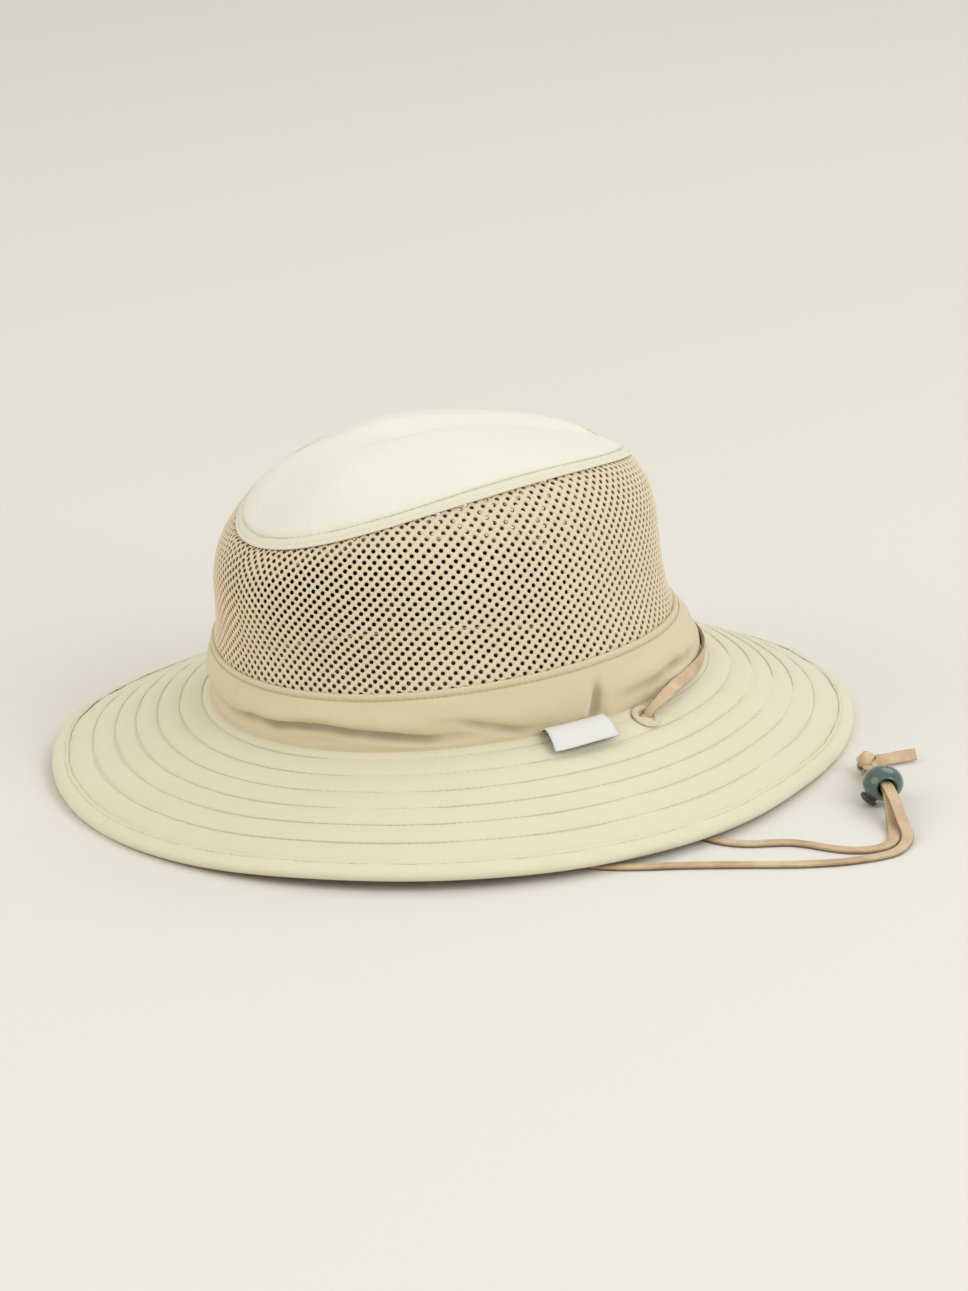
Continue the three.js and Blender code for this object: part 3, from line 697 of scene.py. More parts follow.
@made_once
def enamel(f, base):
    """Satin enamel on a pressed metal ring."""
    wear = f.noise(f.place(), 420.0, 4.0, 0.65)
    base_colour = f.blend(wear, shade(base, 0.8), shade(base, 1.1))
    return f.finish(base_colour, wear * 0.2 + 0.38, wear, 0.02)


@made_once
def net_yarn(f, base):
    """Knitted yarn of the net: fine ribs, fuzz, and slow changes of tone."""
    x, y, z = f.parts(f.place())
    rib = ((z + x * 0.35 + y * 0.2) * (2 * math.pi / 0.0006)).sin() * 0.5 + 0.5
    fuzz = f.noise(f.place(), 1500.0, 3.0)
    slow = f.noise(f.place(), 30.0, 3.0, 0.6)
    tone = (rib * 0.2 + fuzz * 0.5 + slow * 0.5 - 0.1).clamp()
    base_colour = f.blend(tone, shade(base, 0.82), shade(base, 1.1))
    return f.finish(base_colour, fuzz * 0.1 + 0.82, rib * 0.5 + fuzz, 0.08, Sheen_Weight=0.25)


# ---------------------------------------------------------------------------
# Pieces
# ---------------------------------------------------------------------------


def crumple(p, size, seed, tall=1.0):
    """Soft rise and fall from place to place, from about -1 to 1, over that size in millimetres.
    With tall above 1 its creases lie level."""
    a, b, c = p[..., 0] / size, p[..., 1] / size, p[..., 2] * tall / size
    total = np.sin(a + 1.7 * np.sin(b * 0.9 + seed) + seed * 1.3)
    total = total + np.sin(b * 1.1 + 1.9 * np.sin(c * 1.2 + seed * 2.1) + 2.0)
    total = total + np.sin(c * 1.3 + 1.6 * np.sin(a * 1.15 - seed) + 4.0)
    total = total + 0.5 * np.sin(2.3 * a - 1.9 * b + 1.2 * np.sin(2.1 * c + seed))
    return total / 3.0


def rows_dent(share, slant, shares, deep, wide):
    """Depth of the dents that rows of stitching pull into a cloth."""
    return sum(deep * hump(((share - row) * slant, wide)) for row in shares)


def spaced_shares(low, high, step, about, close, extra):
    """Shares from low to high, with so many extra ones close together on both sides of some."""
    shares = set(np.round(np.arange(low, high + step / 2, step), 5)) | {low, high}
    shares |= {round(share + k * close, 5) for share in about for k in range(-extra, extra + 1)}
    shares = sorted(s for s in shares if low - 1e-9 <= s <= high + 1e-9)
    kept = [shares[0]]
    for s in shares[1:]:
        if s - kept[-1] > close * 0.6:
            kept.append(s)
    kept[-1] = high
    return np.array(kept)


# Depths under the brim's upper face: where its two cloths meet, and its under side.
UPPER_INNER = 1.2
UNDER_OUTER = 1.4
UNDER_INNER = 2.62
# Dents along the rows of stitching, above and below: depth and half width.
UPPER_DENT = (0.52, 1.7)
UNDER_DENT = (0.35, 1.4)
# The brim's ripples are calmer beside the label: turn and share of its middle, and its spread.
CALM = {"turn": 87.0, "share": 0.28, "around": 14.0, "across": 0.2, "by": 0.4}


def make_brim_upper(look):
    def outer(t, s, p):
        dent = rows_dent(s, brim_slant(t), BRIM_ROWS, *UPPER_DENT)
        pucker, slow = crumple(p, 3.1, seed=1.0) * 0.13, crumple(p, 15.0, seed=4.0) * 0.45
        calm = CALM["by"] * hump(
            (away_from(t, CALM["turn"]), CALM["around"]), (s - CALM["share"], CALM["across"])
        )
        return dent - 0.12 - (pucker + slow) * smooth(0.0, 0.1, s) * (1 - calm)

    shares = spaced_shares(0.0, 0.972, 0.03, BRIM_ROWS, 0.009, 3)
    inner = at_depth(UPPER_INNER)
    obj = ring_shell("upper_brim", brim_point, 640, shares, outer, inner, inner_step=4, flat=True)
    return give(obj, cloth("khaki cloth", look.khaki, sheen=0.4), "khaki_cloth", "brim_upper")


def make_brim_under(look):
    def inner(t, s, p):
        dent = rows_dent(s, brim_slant(t), BRIM_ROWS, *UNDER_DENT)
        return UNDER_INNER - dent + crumple(p, 9.0, seed=7.0) * 0.12

    shares = spaced_shares(-0.01, 0.965, 0.035, BRIM_ROWS, 0.010, 2)
    outer = at_depth(UNDER_OUTER)
    obj = ring_shell("under_brim", brim_point, 560, shares, outer, inner, outer_step=4, flat=True)
    return give(obj, cloth("olive cloth", look.olive), "olive_cloth", "brim_under")


# Section of the binding round the brim's edge: distance in from the edge, and height over the
# brim's upper face.
BINDING_SECTION = (
    (7.7, 0.35), (7.6, 0.78), (7.0, 0.95), (6.2, 0.55), (5.4, 0.92), (4.0, 1.08), (2.4, 1.02),
    (1.1, 0.70), (0.35, 0.15), (0.05, -0.55), (0.0, -1.25), (0.05, -1.95), (0.35, -2.65),
    (1.1, -3.15), (2.4, -3.38), (4.2, -3.42), (5.8, -3.36), (6.6, -3.02), (7.4, -3.36), (9.2, -3.4),
    (10.0, -3.25), (10.1, -2.85), (6.0, -2.8), (1.6, -2.8), (1.6, 0.28), (6.0, 0.28),
)
# The point of the section along which the binding's length is taken.
BINDING_LENGTH_AT = 9


def make_binding(look):
    turns = even(900)
    section = np.array(BINDING_SECTION)
    inwards, height = section[None, :, 0], section[None, :, 1]
    wave = ripple(turns, (61, 20, 0.10), (97, 130, 0.08), (23, 60, 0.14))[:, None]
    fine = ripple(turns, (173, 10, 0.05), (211, 80, 0.04), (47, 300, 0.08))[:, None]
    slant = brim_slant(turns)[:, None]
    shares = 1 - np.maximum(inwards + wave * (inwards > 5), 0.0) / slant
    t = np.broadcast_to(turns[:, None], shares.shape)
    lift = height + fine * (height > 0)
    p = brim_point(t, shares) + normals(brim_point, t, shares) * lift[..., None]
    uvs = weave_map(run_along(p[:, BINDING_LENGTH_AT])[:, None], run_along(section)[None, :])
    faces = grid_faces(len(turns), len(section))
    obj = facing_out(new_object("bound_edge", p.reshape(-1, 3), faces, uvs))
    return give(obj, cloth("binding cloth", look.binding), "binding_cloth", "brim_binding")


# Level tucks of the crown band, each with a fold that bulges over it: turn, share up, depth.
TUCK = ("turn", "level", "deep")
BAND_TUCKS = (
    rows(
        TUCK, (-16, 0.30, 0.0), (-2, 0.30, 0.7), (7, 0.36, 1.4), (14, 0.38, 2.1), (22, 0.42, 1.9),
        (31, 0.44, 2.2), (42, 0.33, 1.9), (54, 0.24, 1.1), (66, 0.18, 0.0),
    ),
    rows(TUCK, (52, 0.52, 0.0), (61, 0.46, 0.9), (69, 0.31, 1.2), (77, 0.16, 0.7), (86, 0.10, 0.0)),
    rows(TUCK, (100, 0.30, 0.0), (113, 0.38, 1.1), (124, 0.42, 1.1), (142, 0.36, 0.0)),
    rows(TUCK, (150, 0.55, 0.0), (172, 0.45, 1.0), (196, 0.40, 1.1), (222, 0.50, 0.0)),
    rows(TUCK, (228, 0.30, 0.0), (246, 0.36, 1.2), (268, 0.42, 1.3), (290, 0.36, 0.0)),
    rows(TUCK, (284, 0.58, 0.0), (300, 0.50, 0.9), (322, 0.40, 1.2), (338, 0.34, 0.0)),
)
# Upright pleats of the band: turn, lean in degrees of turn, lowest and highest share, depth.
BAND_PLEATS = (
    (95.0, 4.4, 0.1, 0.66, 2.0),
    (170.0, -1.5, 0.2, 0.8, 1.0),
    (262.0, 1.5, 0.2, 0.9, 1.1),
)
BAND_HEIGHT = 25.0
# The row of stitches along the band, by share up, and the deepest that a fold reaches in.
BAND_ROW = 0.915
BAND_DEEPEST = -2.5
# How a tuck is shaped: its groove's depth and half width, and its upper and lower folds.
GROOVE = {"deep": 0.85, "wide": 3.0}
FOLD = {"high": 0.9, "wide": 2.9, "low": 0.3}


def band_folds(turn, up, p):
    """How far the band's folds stand out, or in if negative."""
    total = np.zeros(np.shape(turn))
    radius = np.hypot(p[..., 0], p[..., 1])
    for tuck in BAND_TUCKS:
        middle = tuck["turn"].mean()
        t = middle + away_from(turn, middle)
        level = along(tuck, "turn", "level", t) + 0.016 * np.sin(t / 3.1)
        above = (up - level) * BAND_HEIGHT
        over = np.maximum(above - 0.6, 0.0) / FOLD["wide"]
        fold = FOLD["high"] * over * np.exp(1 - over) * smooth(14.0, 7.0, above)
        fold = fold + FOLD["low"] * hump((above + 4.6, 2.0))
        groove = GROOVE["deep"] * hump((above + 0.5, GROOVE["wide"]))
        uneven = 1 + 0.3 * np.sin(t / 2.3 + 0.6) * np.sin(t / 5.1)
        total = total + along(tuck, "turn", "deep", t) * uneven * (fold - groove)
    for at, lean, low, high, deep in BAND_PLEATS:
        run = np.radians(away_from(turn, at + lean * (up - 0.5))) * radius
        reach = smooth(low - 0.1, low + 0.1, up) * smooth(high + 0.14, high - 0.26, up)
        fold = 0.45 * hump((np.abs(run) - 4.4, 2.2)) - hump((run, 3.1 - 1.2 * up))
        total = total + deep * fold * reach
    return total


def store_painted_shade(obj, values):
    """Stores painted shade, 0 to 1, for each outer point of a ring or a cap lying in a crease or a hem.
    """
    layer = obj.data.attributes.new("PaintedShade", "FLOAT", "POINT")
    turns, shares = values.shape
    full = np.zeros((turns, len(obj.data.vertices) // turns))
    full[:, :shares] = values
    poles = np.zeros(len(obj.data.vertices) - full.size)
    layer.data.foreach_set("value", np.concatenate([full.reshape(-1), poles]))


def make_band(look):
    def outer(t, s, p):
        out = band_folds(t, s, p) + crumple(p, 9.0, seed=3.0, tall=2.2) * 0.32
        edge = smooth(0.0, 0.12, s) * (1 - 0.8 * smooth(0.84, 0.92, s))
        row = -0.3 * hump(((s - BAND_ROW) * BAND_HEIGHT, 0.8)) + 0.25 * smooth(0.93, 0.96, s)
        seam = -0.54 * hump((s * BAND_HEIGHT, 1.6))
        fine = crumple(p, 1.9, seed=9.0) * 0.07
        return -(0.45 + np.maximum(out * edge, BAND_DEEPEST) + row + seam + fine)

    def inner(t, s, p):
        return np.maximum(1.2, outer(t, s, p) + 0.5)

    columns = 720
    shares = spaced_shares(0.0, 1.0, 0.024, (0.0, 0.06, 0.91), 0.012, 3)
    obj = ring_shell("band", band_point, columns, shares, outer, inner, inner_step=4)
    # Painted shade: the band's colour darkens where its folds sink in, the deeper the darker.
    t, s = np.broadcast_arrays(even(columns)[:, None], shares[None, :])
    store_painted_shade(obj, smooth(-0.1, 1.5, -band_folds(t, s, band_point(t, s))))
    material = cloth("band cloth", look.band, mottle=0.10, painted_shade=0.58)
    return give(obj, material, "band_cloth", "crown_band")


# Depths of the sweatband's faces behind the band, its height, and its two rows of stitching.
SWEATBAND_OUTER = 2.95
SWEATBAND_INNER = 4.35
SWEATBAND_HEIGHT = 24.0
SWEATBAND_ROWS = (0.05, 0.86)


def make_sweatband(look):
    def inner(t, s, p):
        row = rows_dent(s, SWEATBAND_HEIGHT, SWEATBAND_ROWS, 0.4, 0.8)
        return SWEATBAND_INNER + crumple(p, 5.0, seed=2.0, tall=2.0) * 0.25 - row

    shares = spaced_shares(-0.06, 0.95, 0.06, (0.02, 0.9), 0.02, 2)
    outer = at_depth(SWEATBAND_OUTER)
    obj = ring_shell("head_band", plain_band_point, 420, shares, outer, inner, outer_step=4)
    return give(obj, black_cloth(look), "black_cloth", "sweatband")


def cap_shell(name, outer, inner, columns, rings, inner_step=1, hem=()):
    """A closed sheet over the top ring. outer and inner give its depths under top_point. A hem
    turns down over the wall: (share up the wall, distance out from it)."""
    turns = even(columns)
    t, s = np.broadcast_arrays(turns[:, None], np.asarray(rings)[None, :])
    p, n = top_point(t, s), normals(top_point, t, s)
    over = p - n * outer(t, s, p)[..., None]
    under = thinned(p - n * inner(t, s, p)[..., None], inner_step)
    rim = rim_points(over, under, -1)
    if hem:
        up, off = (np.tile(column, (columns, 1)) for column in zip(*hem))
        wide = np.broadcast_to(turns[:, None], up.shape)
        out = normals(wall_point, wide, np.clip(up, 0, 0.99))
        rim = [wall_point(wide, up) + out * off[..., None]]
    strip = np.concatenate([over, *rim, under[:, ::-1]], axis=1)
    size = strip.shape[1]
    zero, upright = np.zeros(1), np.array([[0.0, 0.0, 1.0]])
    centre = top_point(zero, zero)
    poles = [centre - upright * side(zero, zero, centre)[:, None] for side in (outer, inner)]
    verts = np.concatenate([strip.reshape(-1, 3), *poles])
    faces = grid_faces(columns, size, loop=False)
    over_pole, under_pole = columns * size, columns * size + 1
    for i in range(columns):
        a, b = i * size, (i + 1) % columns * size
        faces += [(b, a, over_pole), (a + size - 1, b + size - 1, under_pole)]
    return facing_out(new_object(name, verts, faces, verts[:, :2] * MM))


TOP_COLUMNS = 420
TOP_RINGS = (*np.linspace(0.03, 0.9, 46), *np.linspace(0.908, 0.998, 16))
TOP_HEM = ((1.004, 0.35), (0.997, 0.5), (0.99, 0.5), (0.983, 0.3), (0.981, 0.0), (0.99, -0.2))
# How far from the seam the row of stitches runs, and where the hem's painted shade ends and is full.
TOP_ROW = 3.7
TOP_HEM_SHADE = (7.0, 2.4)


def top_run(turn, share):
    """The way down the top panel from a share to its seam, in mm."""
    steps = share[..., None] + (1.0 - share[..., None]) * np.linspace(0, 1, 7)
    return length_of(top_point(np.broadcast_to(turn[..., None], steps.shape), steps))


def top_share(turn, run):
    """The share out at which the top panel is so many mm from its seam."""
    share = np.full(np.shape(turn), 0.95)
    for _ in range(8):
        share = 1 - (1 - share) * run / top_run(turn, share)
    return share


def make_top(look):
    def outer(t, s, p):
        run = top_run(t, s)
        slow, fine = crumple(p, 13.0, seed=5.0) * 0.4, crumple(p, 2.6, seed=2.0) * 0.06
        row = 0.38 * hump((run - TOP_ROW, 1.0))
        pucker = crumple(p, 2.2, seed=8.0) * 0.16 * hump((run - TOP_ROW, 3.0))
        puff = 0.22 * hump((run - 1.7, 1.1))
        relief = (slow + fine) * smooth(0.0, 7.0, run) + pucker * smooth(0.0, 1.5, run)
        return row - puff - relief - 0.15

    obj = cap_shell("top_panel", outer, at_depth(1.2), TOP_COLUMNS, TOP_RINGS, 6, TOP_HEM)
    # Painted shade: the turned-down hem and the strip above it go towards the binding's warmer, darker
    # tone.
    t, s = np.broadcast_arrays(even(TOP_COLUMNS)[:, None], np.array(TOP_RINGS)[None, :])
    turned_down = np.ones((TOP_COLUMNS, len(TOP_HEM)))
    store_painted_shade(obj, np.concatenate([smooth(*TOP_HEM_SHADE, top_run(t, s)), turned_down], axis=1))
    looks = {"contrast": 0.06, "mottle": 0.03, "painted_shade": 0.6, "shade_tone": tuple(look.binding)}
    return give(obj, cloth("ivory cloth", look.ivory, **looks), "ivory_cloth", "crown_top")


def make_top_lining(look):
    def inner(t, s, p):
        return 2.35 + crumple(p, 8.0, seed=3.0) * 0.12

    obj = cap_shell("top_panel_lining", at_depth(1.5), inner, 200, np.linspace(0.04, 0.98, 34))
    return give(obj, black_cloth(look), "black_cloth", "top_lining")


# The crown's net. Its columns run round the crown from the front, and its rows run level, so both
# seams cut across them: turn, column, and the rows at the band seam and at the top seam.
NET = rows(
    ("turn", "column", "low", "high"),
    (0, 0, 17.1, -9.2),
    (12, 8.8, 18.1, -6.9),
    (24, 17.4, 18.8, -9.0),
    (33, 24, 18.8, -11.0),
    (44, 32, 17.8, -13.9),
    (55, 40, 16.8, -15.6),
    (70, 50, 15.6, -18.5),
    (82, 58, 14.5, -19.9),
    (95, 67, 13.2, -21.8),
    (112, 78, 11.0, -22.6),
    (125, 87, 8.6, -23.3),
    (150, 104, 5.6, -23.4),
    (180, 120, 4.4, -23.4),
)
NET_COLUMNS = 240
# How thick the net is, and how far its yarn rounds down into the holes.
NET_THICK = 1.4
NET_DIP = 0.42
# The rows that are tried, and how far past the two seams the net's holes go, as shares up.
NET_ROWS = range(-26, 22)
NET_REACH = (-0.022, 0.992)


def net_place(column, row):
    """(turn, share up) of a point of the net's own grid."""
    half = NET_COLUMNS / 2
    around = np.mod(column, NET_COLUMNS)
    folded = np.where(around > half, NET_COLUMNS - around, around)
    turn = along(NET, "column", "turn", folded)
    low, high = along(NET, "column", "low", folded), along(NET, "column", "high", folded)
    return np.where(around > half, 360.0 - turn, turn), (low - row) / (low - high)


def net_cells():
    """One diamond for each hole of the net, with a point at the middle of each of its sides."""
    corners = ((1, 0), (0.5, 0.5), (0, 1), (-0.5, 0.5), (-1, 0), (-0.5, -0.5), (0, -1), (0.5, -0.5))
    index = {}
    faces = []
    for column in range(NET_COLUMNS):
        for row in NET_ROWS:
            if (column + row) % 2:
                continue
            if not NET_REACH[0] < net_place(float(column), float(row))[1] < NET_REACH[1]:
                continue
            around = [((2 * (column + c)) % (2 * NET_COLUMNS), 2 * (row + r)) for c, r in corners]
            faces.append([index.setdefault(key, len(index)) for key in around][::-1])
    keys = np.array(list(index), float) / 2
    turn, share = net_place(keys[:, 0], keys[:, 1])
    n = normals(wall_point, turn, np.clip(share, 0.01, 0.99))
    # Both edges run in under the cloth that is sewn over them.
    sunk = 0.15 + 0.9 * smooth(0.035, -0.01, share) + 0.75 * smooth(0.95, 0.99, share)
    p = wall_point(turn, share) - n * sunk[:, None]
    return new_object("net_cells", p + n * (crumple(p, 14.0, seed=6.0) * 0.25)[:, None], faces)


def node_group(name, inputs):
    """A Geometry Nodes group with a geometry input, the given inputs and a material input, where a
    default of None stands for a material. Gives the group, its tree, and its inputs by name."""
    group = bpy.data.node_groups.new(name, "GeometryNodeTree")
    face = group.interface
    for way in ("OUTPUT", "INPUT"):
        face.new_socket("Geometry", in_out=way, socket_type="NodeSocketGeometry")
    for label, value in {**inputs, "Material": None}.items():
        kind = "NodeSocketMaterial" if value is None else "NodeSocketFloat"
        socket = face.new_socket(label, in_out="INPUT", socket_type=kind)
        if value is not None:
            socket.default_value = value
    tree = Tree(group)
    entry = tree.node("NodeGroupInput", output=None)
    return group, tree, {s.name: Value(tree, s) for s in entry.outputs if s.name}


def painted(tree, geometry, material):
    return tree.node("GeometryNodeSetMaterial", {}, {"Geometry": geometry, "Material": material})


def close_group(tree, geometry, material=None):
    """Realizes the instances, sets the material if one is given, and feeds the group's output."""
    geometry = tree.node("GeometryNodeRealizeInstances", {}, {"Geometry": geometry})
    if material is not None:
        geometry = painted(tree, geometry, material)
    tree.node("NodeGroupOutput", {}, {0: geometry}, output=None)


def run_nodes(obj, group, values, name):
    """Runs a Geometry Nodes group over an object and keeps the result as a plain mesh."""
    modifier = obj.modifiers.new(group.name, "NODES")
    modifier.node_group = group
    for item in group.interface.items_tree:
        if item.in_out == "INPUT" and item.name in values:
            modifier[item.identifier] = values[item.name]
    mesh = evaluated(obj)
    bpy.data.objects.remove(obj)
    mesh.name = name
    return linked(name, mesh)


def net_group():
    """Opens a round hole in each face, and gives what is left its thickness."""
    defaults = {"Hole radius": 0.001, "Roundness": 0.0003, "Thickness": 0.00085, "Inner material": None}
    group, tree, socket = node_group("Open net", defaults)
    place = tree.node("GeometryNodeInputPosition")
    capture = tree.node(
        "GeometryNodeCaptureAttribute", {"domain": "FACE"}, {0: socket["Geometry"]}, output=None
    )
    capture.capture_items.new("VECTOR", "Middle")
    tree.feed(capture.inputs[1], place)
    cells, middle = capture.outputs[0], capture.outputs[1]
    pushed = tree.node(
        "GeometryNodeExtrudeMesh",
        {"mode": "FACES"},
        {"Mesh": cells, "Offset Scale": 0.0, "Individual": True},
        output=None,
    )
    hole = pushed.outputs[1]
    away = tree.vector("NORMALIZE", tree.vector("SUBTRACT", place, middle))
    away = tree.vector("SCALE", away, Scale=socket["Hole radius"])
    target = tree.vector("ADD", away, middle)
    normal = tree.node("GeometryNodeInputNormal")
    dip = tree.vector("SCALE", normal, Scale=socket["Roundness"] * -1.0)
    rounded = tree.node(
        "GeometryNodeSetPosition",
        {},
        {"Geometry": pushed.outputs[0], "Selection": hole, "Position": target, "Offset": dip},
    )
    opened = tree.node(
        "GeometryNodeDeleteGeometry",
        {"domain": "FACE", "mode": "ALL"},
        {"Geometry": rounded, "Selection": hole},
    )
    opened = tree.node("GeometryNodeMergeByDistance", {}, {"Geometry": opened, "Distance": 0.00005})
    thick = tree.node(
        "GeometryNodeExtrudeMesh",
        {"mode": "FACES"},
        {"Mesh": opened, "Offset Scale": socket["Thickness"] * -1.0, "Individual": False},
    )
    turned = tree.node("GeometryNodeFlipFaces", {}, {"Mesh": thick})
    joined = tree.node("GeometryNodeJoinGeometry", output=None)
    for side, material in ((opened, "Material"), (turned, "Inner material")):
        tree.feed(joined.inputs[0], painted(tree, side, socket[material]))
    whole = tree.node(
        "GeometryNodeMergeByDistance", {}, {"Geometry": joined.outputs[0], "Distance": 0.00003}
    )
    close_group(tree, tree.node("GeometryNodeSetShadeSmooth", {}, {0: whole, "Shade Smooth": True}))
    return group


def make_net(look, sizes):
    values = {
        "Hole radius": sizes.net_hole / 2,
        "Roundness": NET_DIP * MM,
        "Thickness": NET_THICK * MM,
        "Inner material": net_yarn("net yarn inside", look.net_inside),
        "Material": net_yarn("net yarn", look.net),
    }
    obj = facing_out(run_nodes(net_cells(), net_group(), values, "crown_net"))
    return give(obj, None, "crown_mesh", "mesh_wall")


# Stitches ------------------------------------------------------------------


def stitch_line(name, lines):
    """Closed lines that rows of stitches follow, with the cloth's normal stored at each point."""
    verts, edges, ups = [], [], []
    for points, normal in lines:
        start, count = len(verts), len(points)
        verts += (points * MM).tolist()
        ups += normal.tolist()
        edges += [(start + i, start + (i + 1) % count) for i in range(count)]
    mesh = bpy.data.meshes.new(name)
    mesh.from_pydata(verts, edges, [])
    layer = mesh.attributes.new("up", "FLOAT_VECTOR", "POINT")
    layer.data.foreach_set("vector", np.array(ups).ravel())
    return linked(name, mesh)


def stitch_group():
    """Lays arched stitches, one after another, along every line of the mesh that comes in."""
    defaults = {"Pitch": 0.0033, "Length": 0.0025, "Thread": 0.00035, "Rise": 0.0003}
    group, tree, socket = node_group("Stitches", defaults)
    curve = tree.node("GeometryNodeMeshToCurve", {}, {"Mesh": socket["Geometry"]})
    spaced = tree.node(
        "GeometryNodeResampleCurve", {"mode": "LENGTH"}, {"Curve": curve, "Length": socket["Pitch"]}
    )
    half = socket["Length"] * 0.5
    start = tree.node("ShaderNodeCombineXYZ", {}, {"X": half * -1.0})
    end = tree.node("ShaderNodeCombineXYZ", {}, {"X": half})
    top = tree.node("ShaderNodeCombineXYZ", {}, {"Z": socket["Rise"] * 2.0})
    arch = tree.node(
        "GeometryNodeCurveQuadraticBezier",
        {},
        {"Resolution": 4, "Start": start, "Middle": top, "End": end},
    )
    ring = tree.node(
        "GeometryNodeCurvePrimitiveCircle",
        {"mode": "RADIUS"},
        {"Resolution": 5, "Radius": socket["Thread"] * 0.5},
    )
    thread = tree.node(
        "GeometryNodeCurveToMesh", {}, {"Curve": arch, "Profile Curve": ring, "Fill Caps": True}
    )
    thread = tree.node("GeometryNodeSetShadeSmooth", {}, {"Geometry": thread, "Shade Smooth": True})
    up = tree.node("GeometryNodeInputNamedAttribute", {"data_type": "FLOAT_VECTOR"}, {"Name": "up"})
    aim = tree.node("FunctionNodeAlignRotationToVector", {"axis": "Z"}, {"Vector": up})
    aim = tree.node(
        "FunctionNodeAlignRotationToVector",
        {"axis": "X", "pivot_axis": "Z"},
        {"Rotation": aim, "Vector": tree.node("GeometryNodeInputTangent")},
    )
    laid = tree.node(
        "GeometryNodeInstanceOnPoints", {}, {"Points": spaced, "Instance": thread, "Rotation": aim}
    )
    close_group(tree, laid, socket["Material"])
    return group


# A stitch's length as a share of the pitch, and the height of its arch.
STITCH_SHARE = 0.84
STITCH_RISE = 0.22


def stitch_row(surface, share, lift, up=1):
    """A row on a surface, at a share or an array of shares, lifted off it by so many mm, and its
    normals there. With up at -1 the stitches face down."""
    t = even(360)
    s = np.broadcast_to(share, t.shape)
    n = normals(surface, t, np.clip(s, 0.01, 0.99))
    return surface(t, s) + n * lift, n * up


def sew(name, lines, material, slot, sizes):
    """Sews stitches of one thread along lines, in one piece."""
    group = bpy.data.node_groups.get("Stitches") or stitch_group()
    values = {
        "Pitch": sizes.stitch_pitch,
        "Length": sizes.stitch_pitch * STITCH_SHARE,
        "Thread": sizes.thread,
        "Rise": STITCH_RISE * MM,
        "Material": material,
    }
    obj = run_nodes(stitch_line(name + " lines", lines), group, values, name)
    give(obj, material, slot)


# How far in from the brim's edge the binding's rows run, above and below.
BRIM_EDGE_ROWS = (6.2, 6.6)


def make_stitches(look, sizes):
    khaki = thread_material("khaki thread", look.thread)
    grey = thread_material("grey thread", look.under_thread)
    turns = even(360)
    edge, under_edge = (1 - inwards / brim_slant(turns) for inwards in BRIM_EDGE_ROWS)
    upper = [stitch_row(brim_point, share, -0.36) for share in BRIM_ROWS]
    upper.append(stitch_row(brim_point, edge, 0.50))
    sew("brim_stitches", upper, khaki, "khaki_cloth", sizes)
    lower = [stitch_row(brim_point, share, -2.22, -1) for share in BRIM_ROWS]
    sew("under_stitches", lower, grey, "olive_cloth", sizes)
    lower = [stitch_row(brim_point, under_edge, -3.0, -1)]
    sew("binding_stitches", lower, khaki, "binding_cloth", sizes)
    band = [stitch_row(band_point, BAND_ROW, 0.18)]
    sew("band_stitches", band, thread_material("band thread", look.band_thread), "band_cloth", sizes)
    top = [stitch_row(top_point, top_share(turns, TOP_ROW), -0.1)]
    sew("top_stitches", top, thread_material("ivory thread", look.top_thread), "ivory_cloth", sizes)


# The chin lace --------------------------------------------------------------

# The thong's section, the step between its rings, and how unevenly wide it is, as a share.
LACE_WIDTH = 4.8
LACE_THICK = 1.6
LACE_STEP = 1.3
LACE_UNEVEN = 0.03
# By how much the lace is gathered in an eyelet, and how far from it that starts and is full.
PINCH = {"by": 0.26, "from": 16.0, "to": 4.0}
# The way that the lace round the back leans at its left end, and mirrored at its right.
LACE_LEAN = (0.77, -0.54, 0.40)


def smooth_line(points, step):
    """Even points along a centripetal Catmull-Rom curve through the given points."""
    p = np.asarray(points, float)
    p = np.concatenate([[2 * p[0] - p[1]], p, [2 * p[-1] - p[-2]]])
    t = np.linspace(0, 1, 40, endpoint=False)[:, None]
    fine = []
    for i in range(1, len(p) - 2):
        a, b, c, d = p[i - 1 : i + 3]
        k0, k1, k2 = (math.sqrt(np.linalg.norm(v)) for v in (b - a, c - b, d - c))
        start = ((b - a) / k0 - (c - a) / (k0 + k1) + (c - b) / k1) * k1
        end = ((c - b) / k1 - (d - b) / (k1 + k2) + (d - c) / k2) * k1
        square, cube = 3 * (c - b) - 2 * start - end, 2 * (b - c) + start + end
        fine.append(b + start * t + square * t**2 + cube * t**3)
    return even_points(np.concatenate([*fine, p[-2:-1]]), step=step)


def even_points(line, step=None, count=None):
    """The line again, in even steps of about one length or in so many points."""
    run = run_along(line)
    count = count or max(int(round(run[-1] / step)) + 1, 3)
    at = np.linspace(0, run[-1], count)
    return np.stack([np.interp(at, run, line[:, k]) for k in range(3)], axis=1)


def tangents_of(line):
    """The line's direction at each of its points, one long."""
    return unit(np.gradient(line, axis=0))


def across(way, tangent):
    """The part of a way that is square to the tangent, one long."""
    return unit(way - tangent * way.dot(tangent))


def lying_axes(line, tangents):
    """The wide direction of a lace that lies flat, and keeps its way where it climbs steeply."""
    wide = np.array([0.0, 1.0, 0.0])
    result = np.zeros(tangents.shape)
    for i, tangent in reversed(list(enumerate(tangents))):
        level = np.array([tangent[1], -tangent[0], 0.0])
        wide = across(level if np.linalg.norm(level) > 0.5 else wide, tangent)
        result[i] = wide
    return result


def leaning_axes(line, tangents):
    """The wide direction of a lace that stands on edge round the crown, and leans out and forward
    towards its two ends."""
    share = np.linspace(0, 1, len(line))
    near_end = smooth(0.30, 0.12, np.minimum(share, 1 - share))[:, None]
    lean = np.tile(LACE_LEAN, (len(line), 1))
    lean[:, 0] *= np.sign(line[:, 0])
    around = unit(line * np.array([1.0, 1.0, 0.0]))
    return unit(np.cross(tangents, around * (1 - near_end) + lean * near_end))


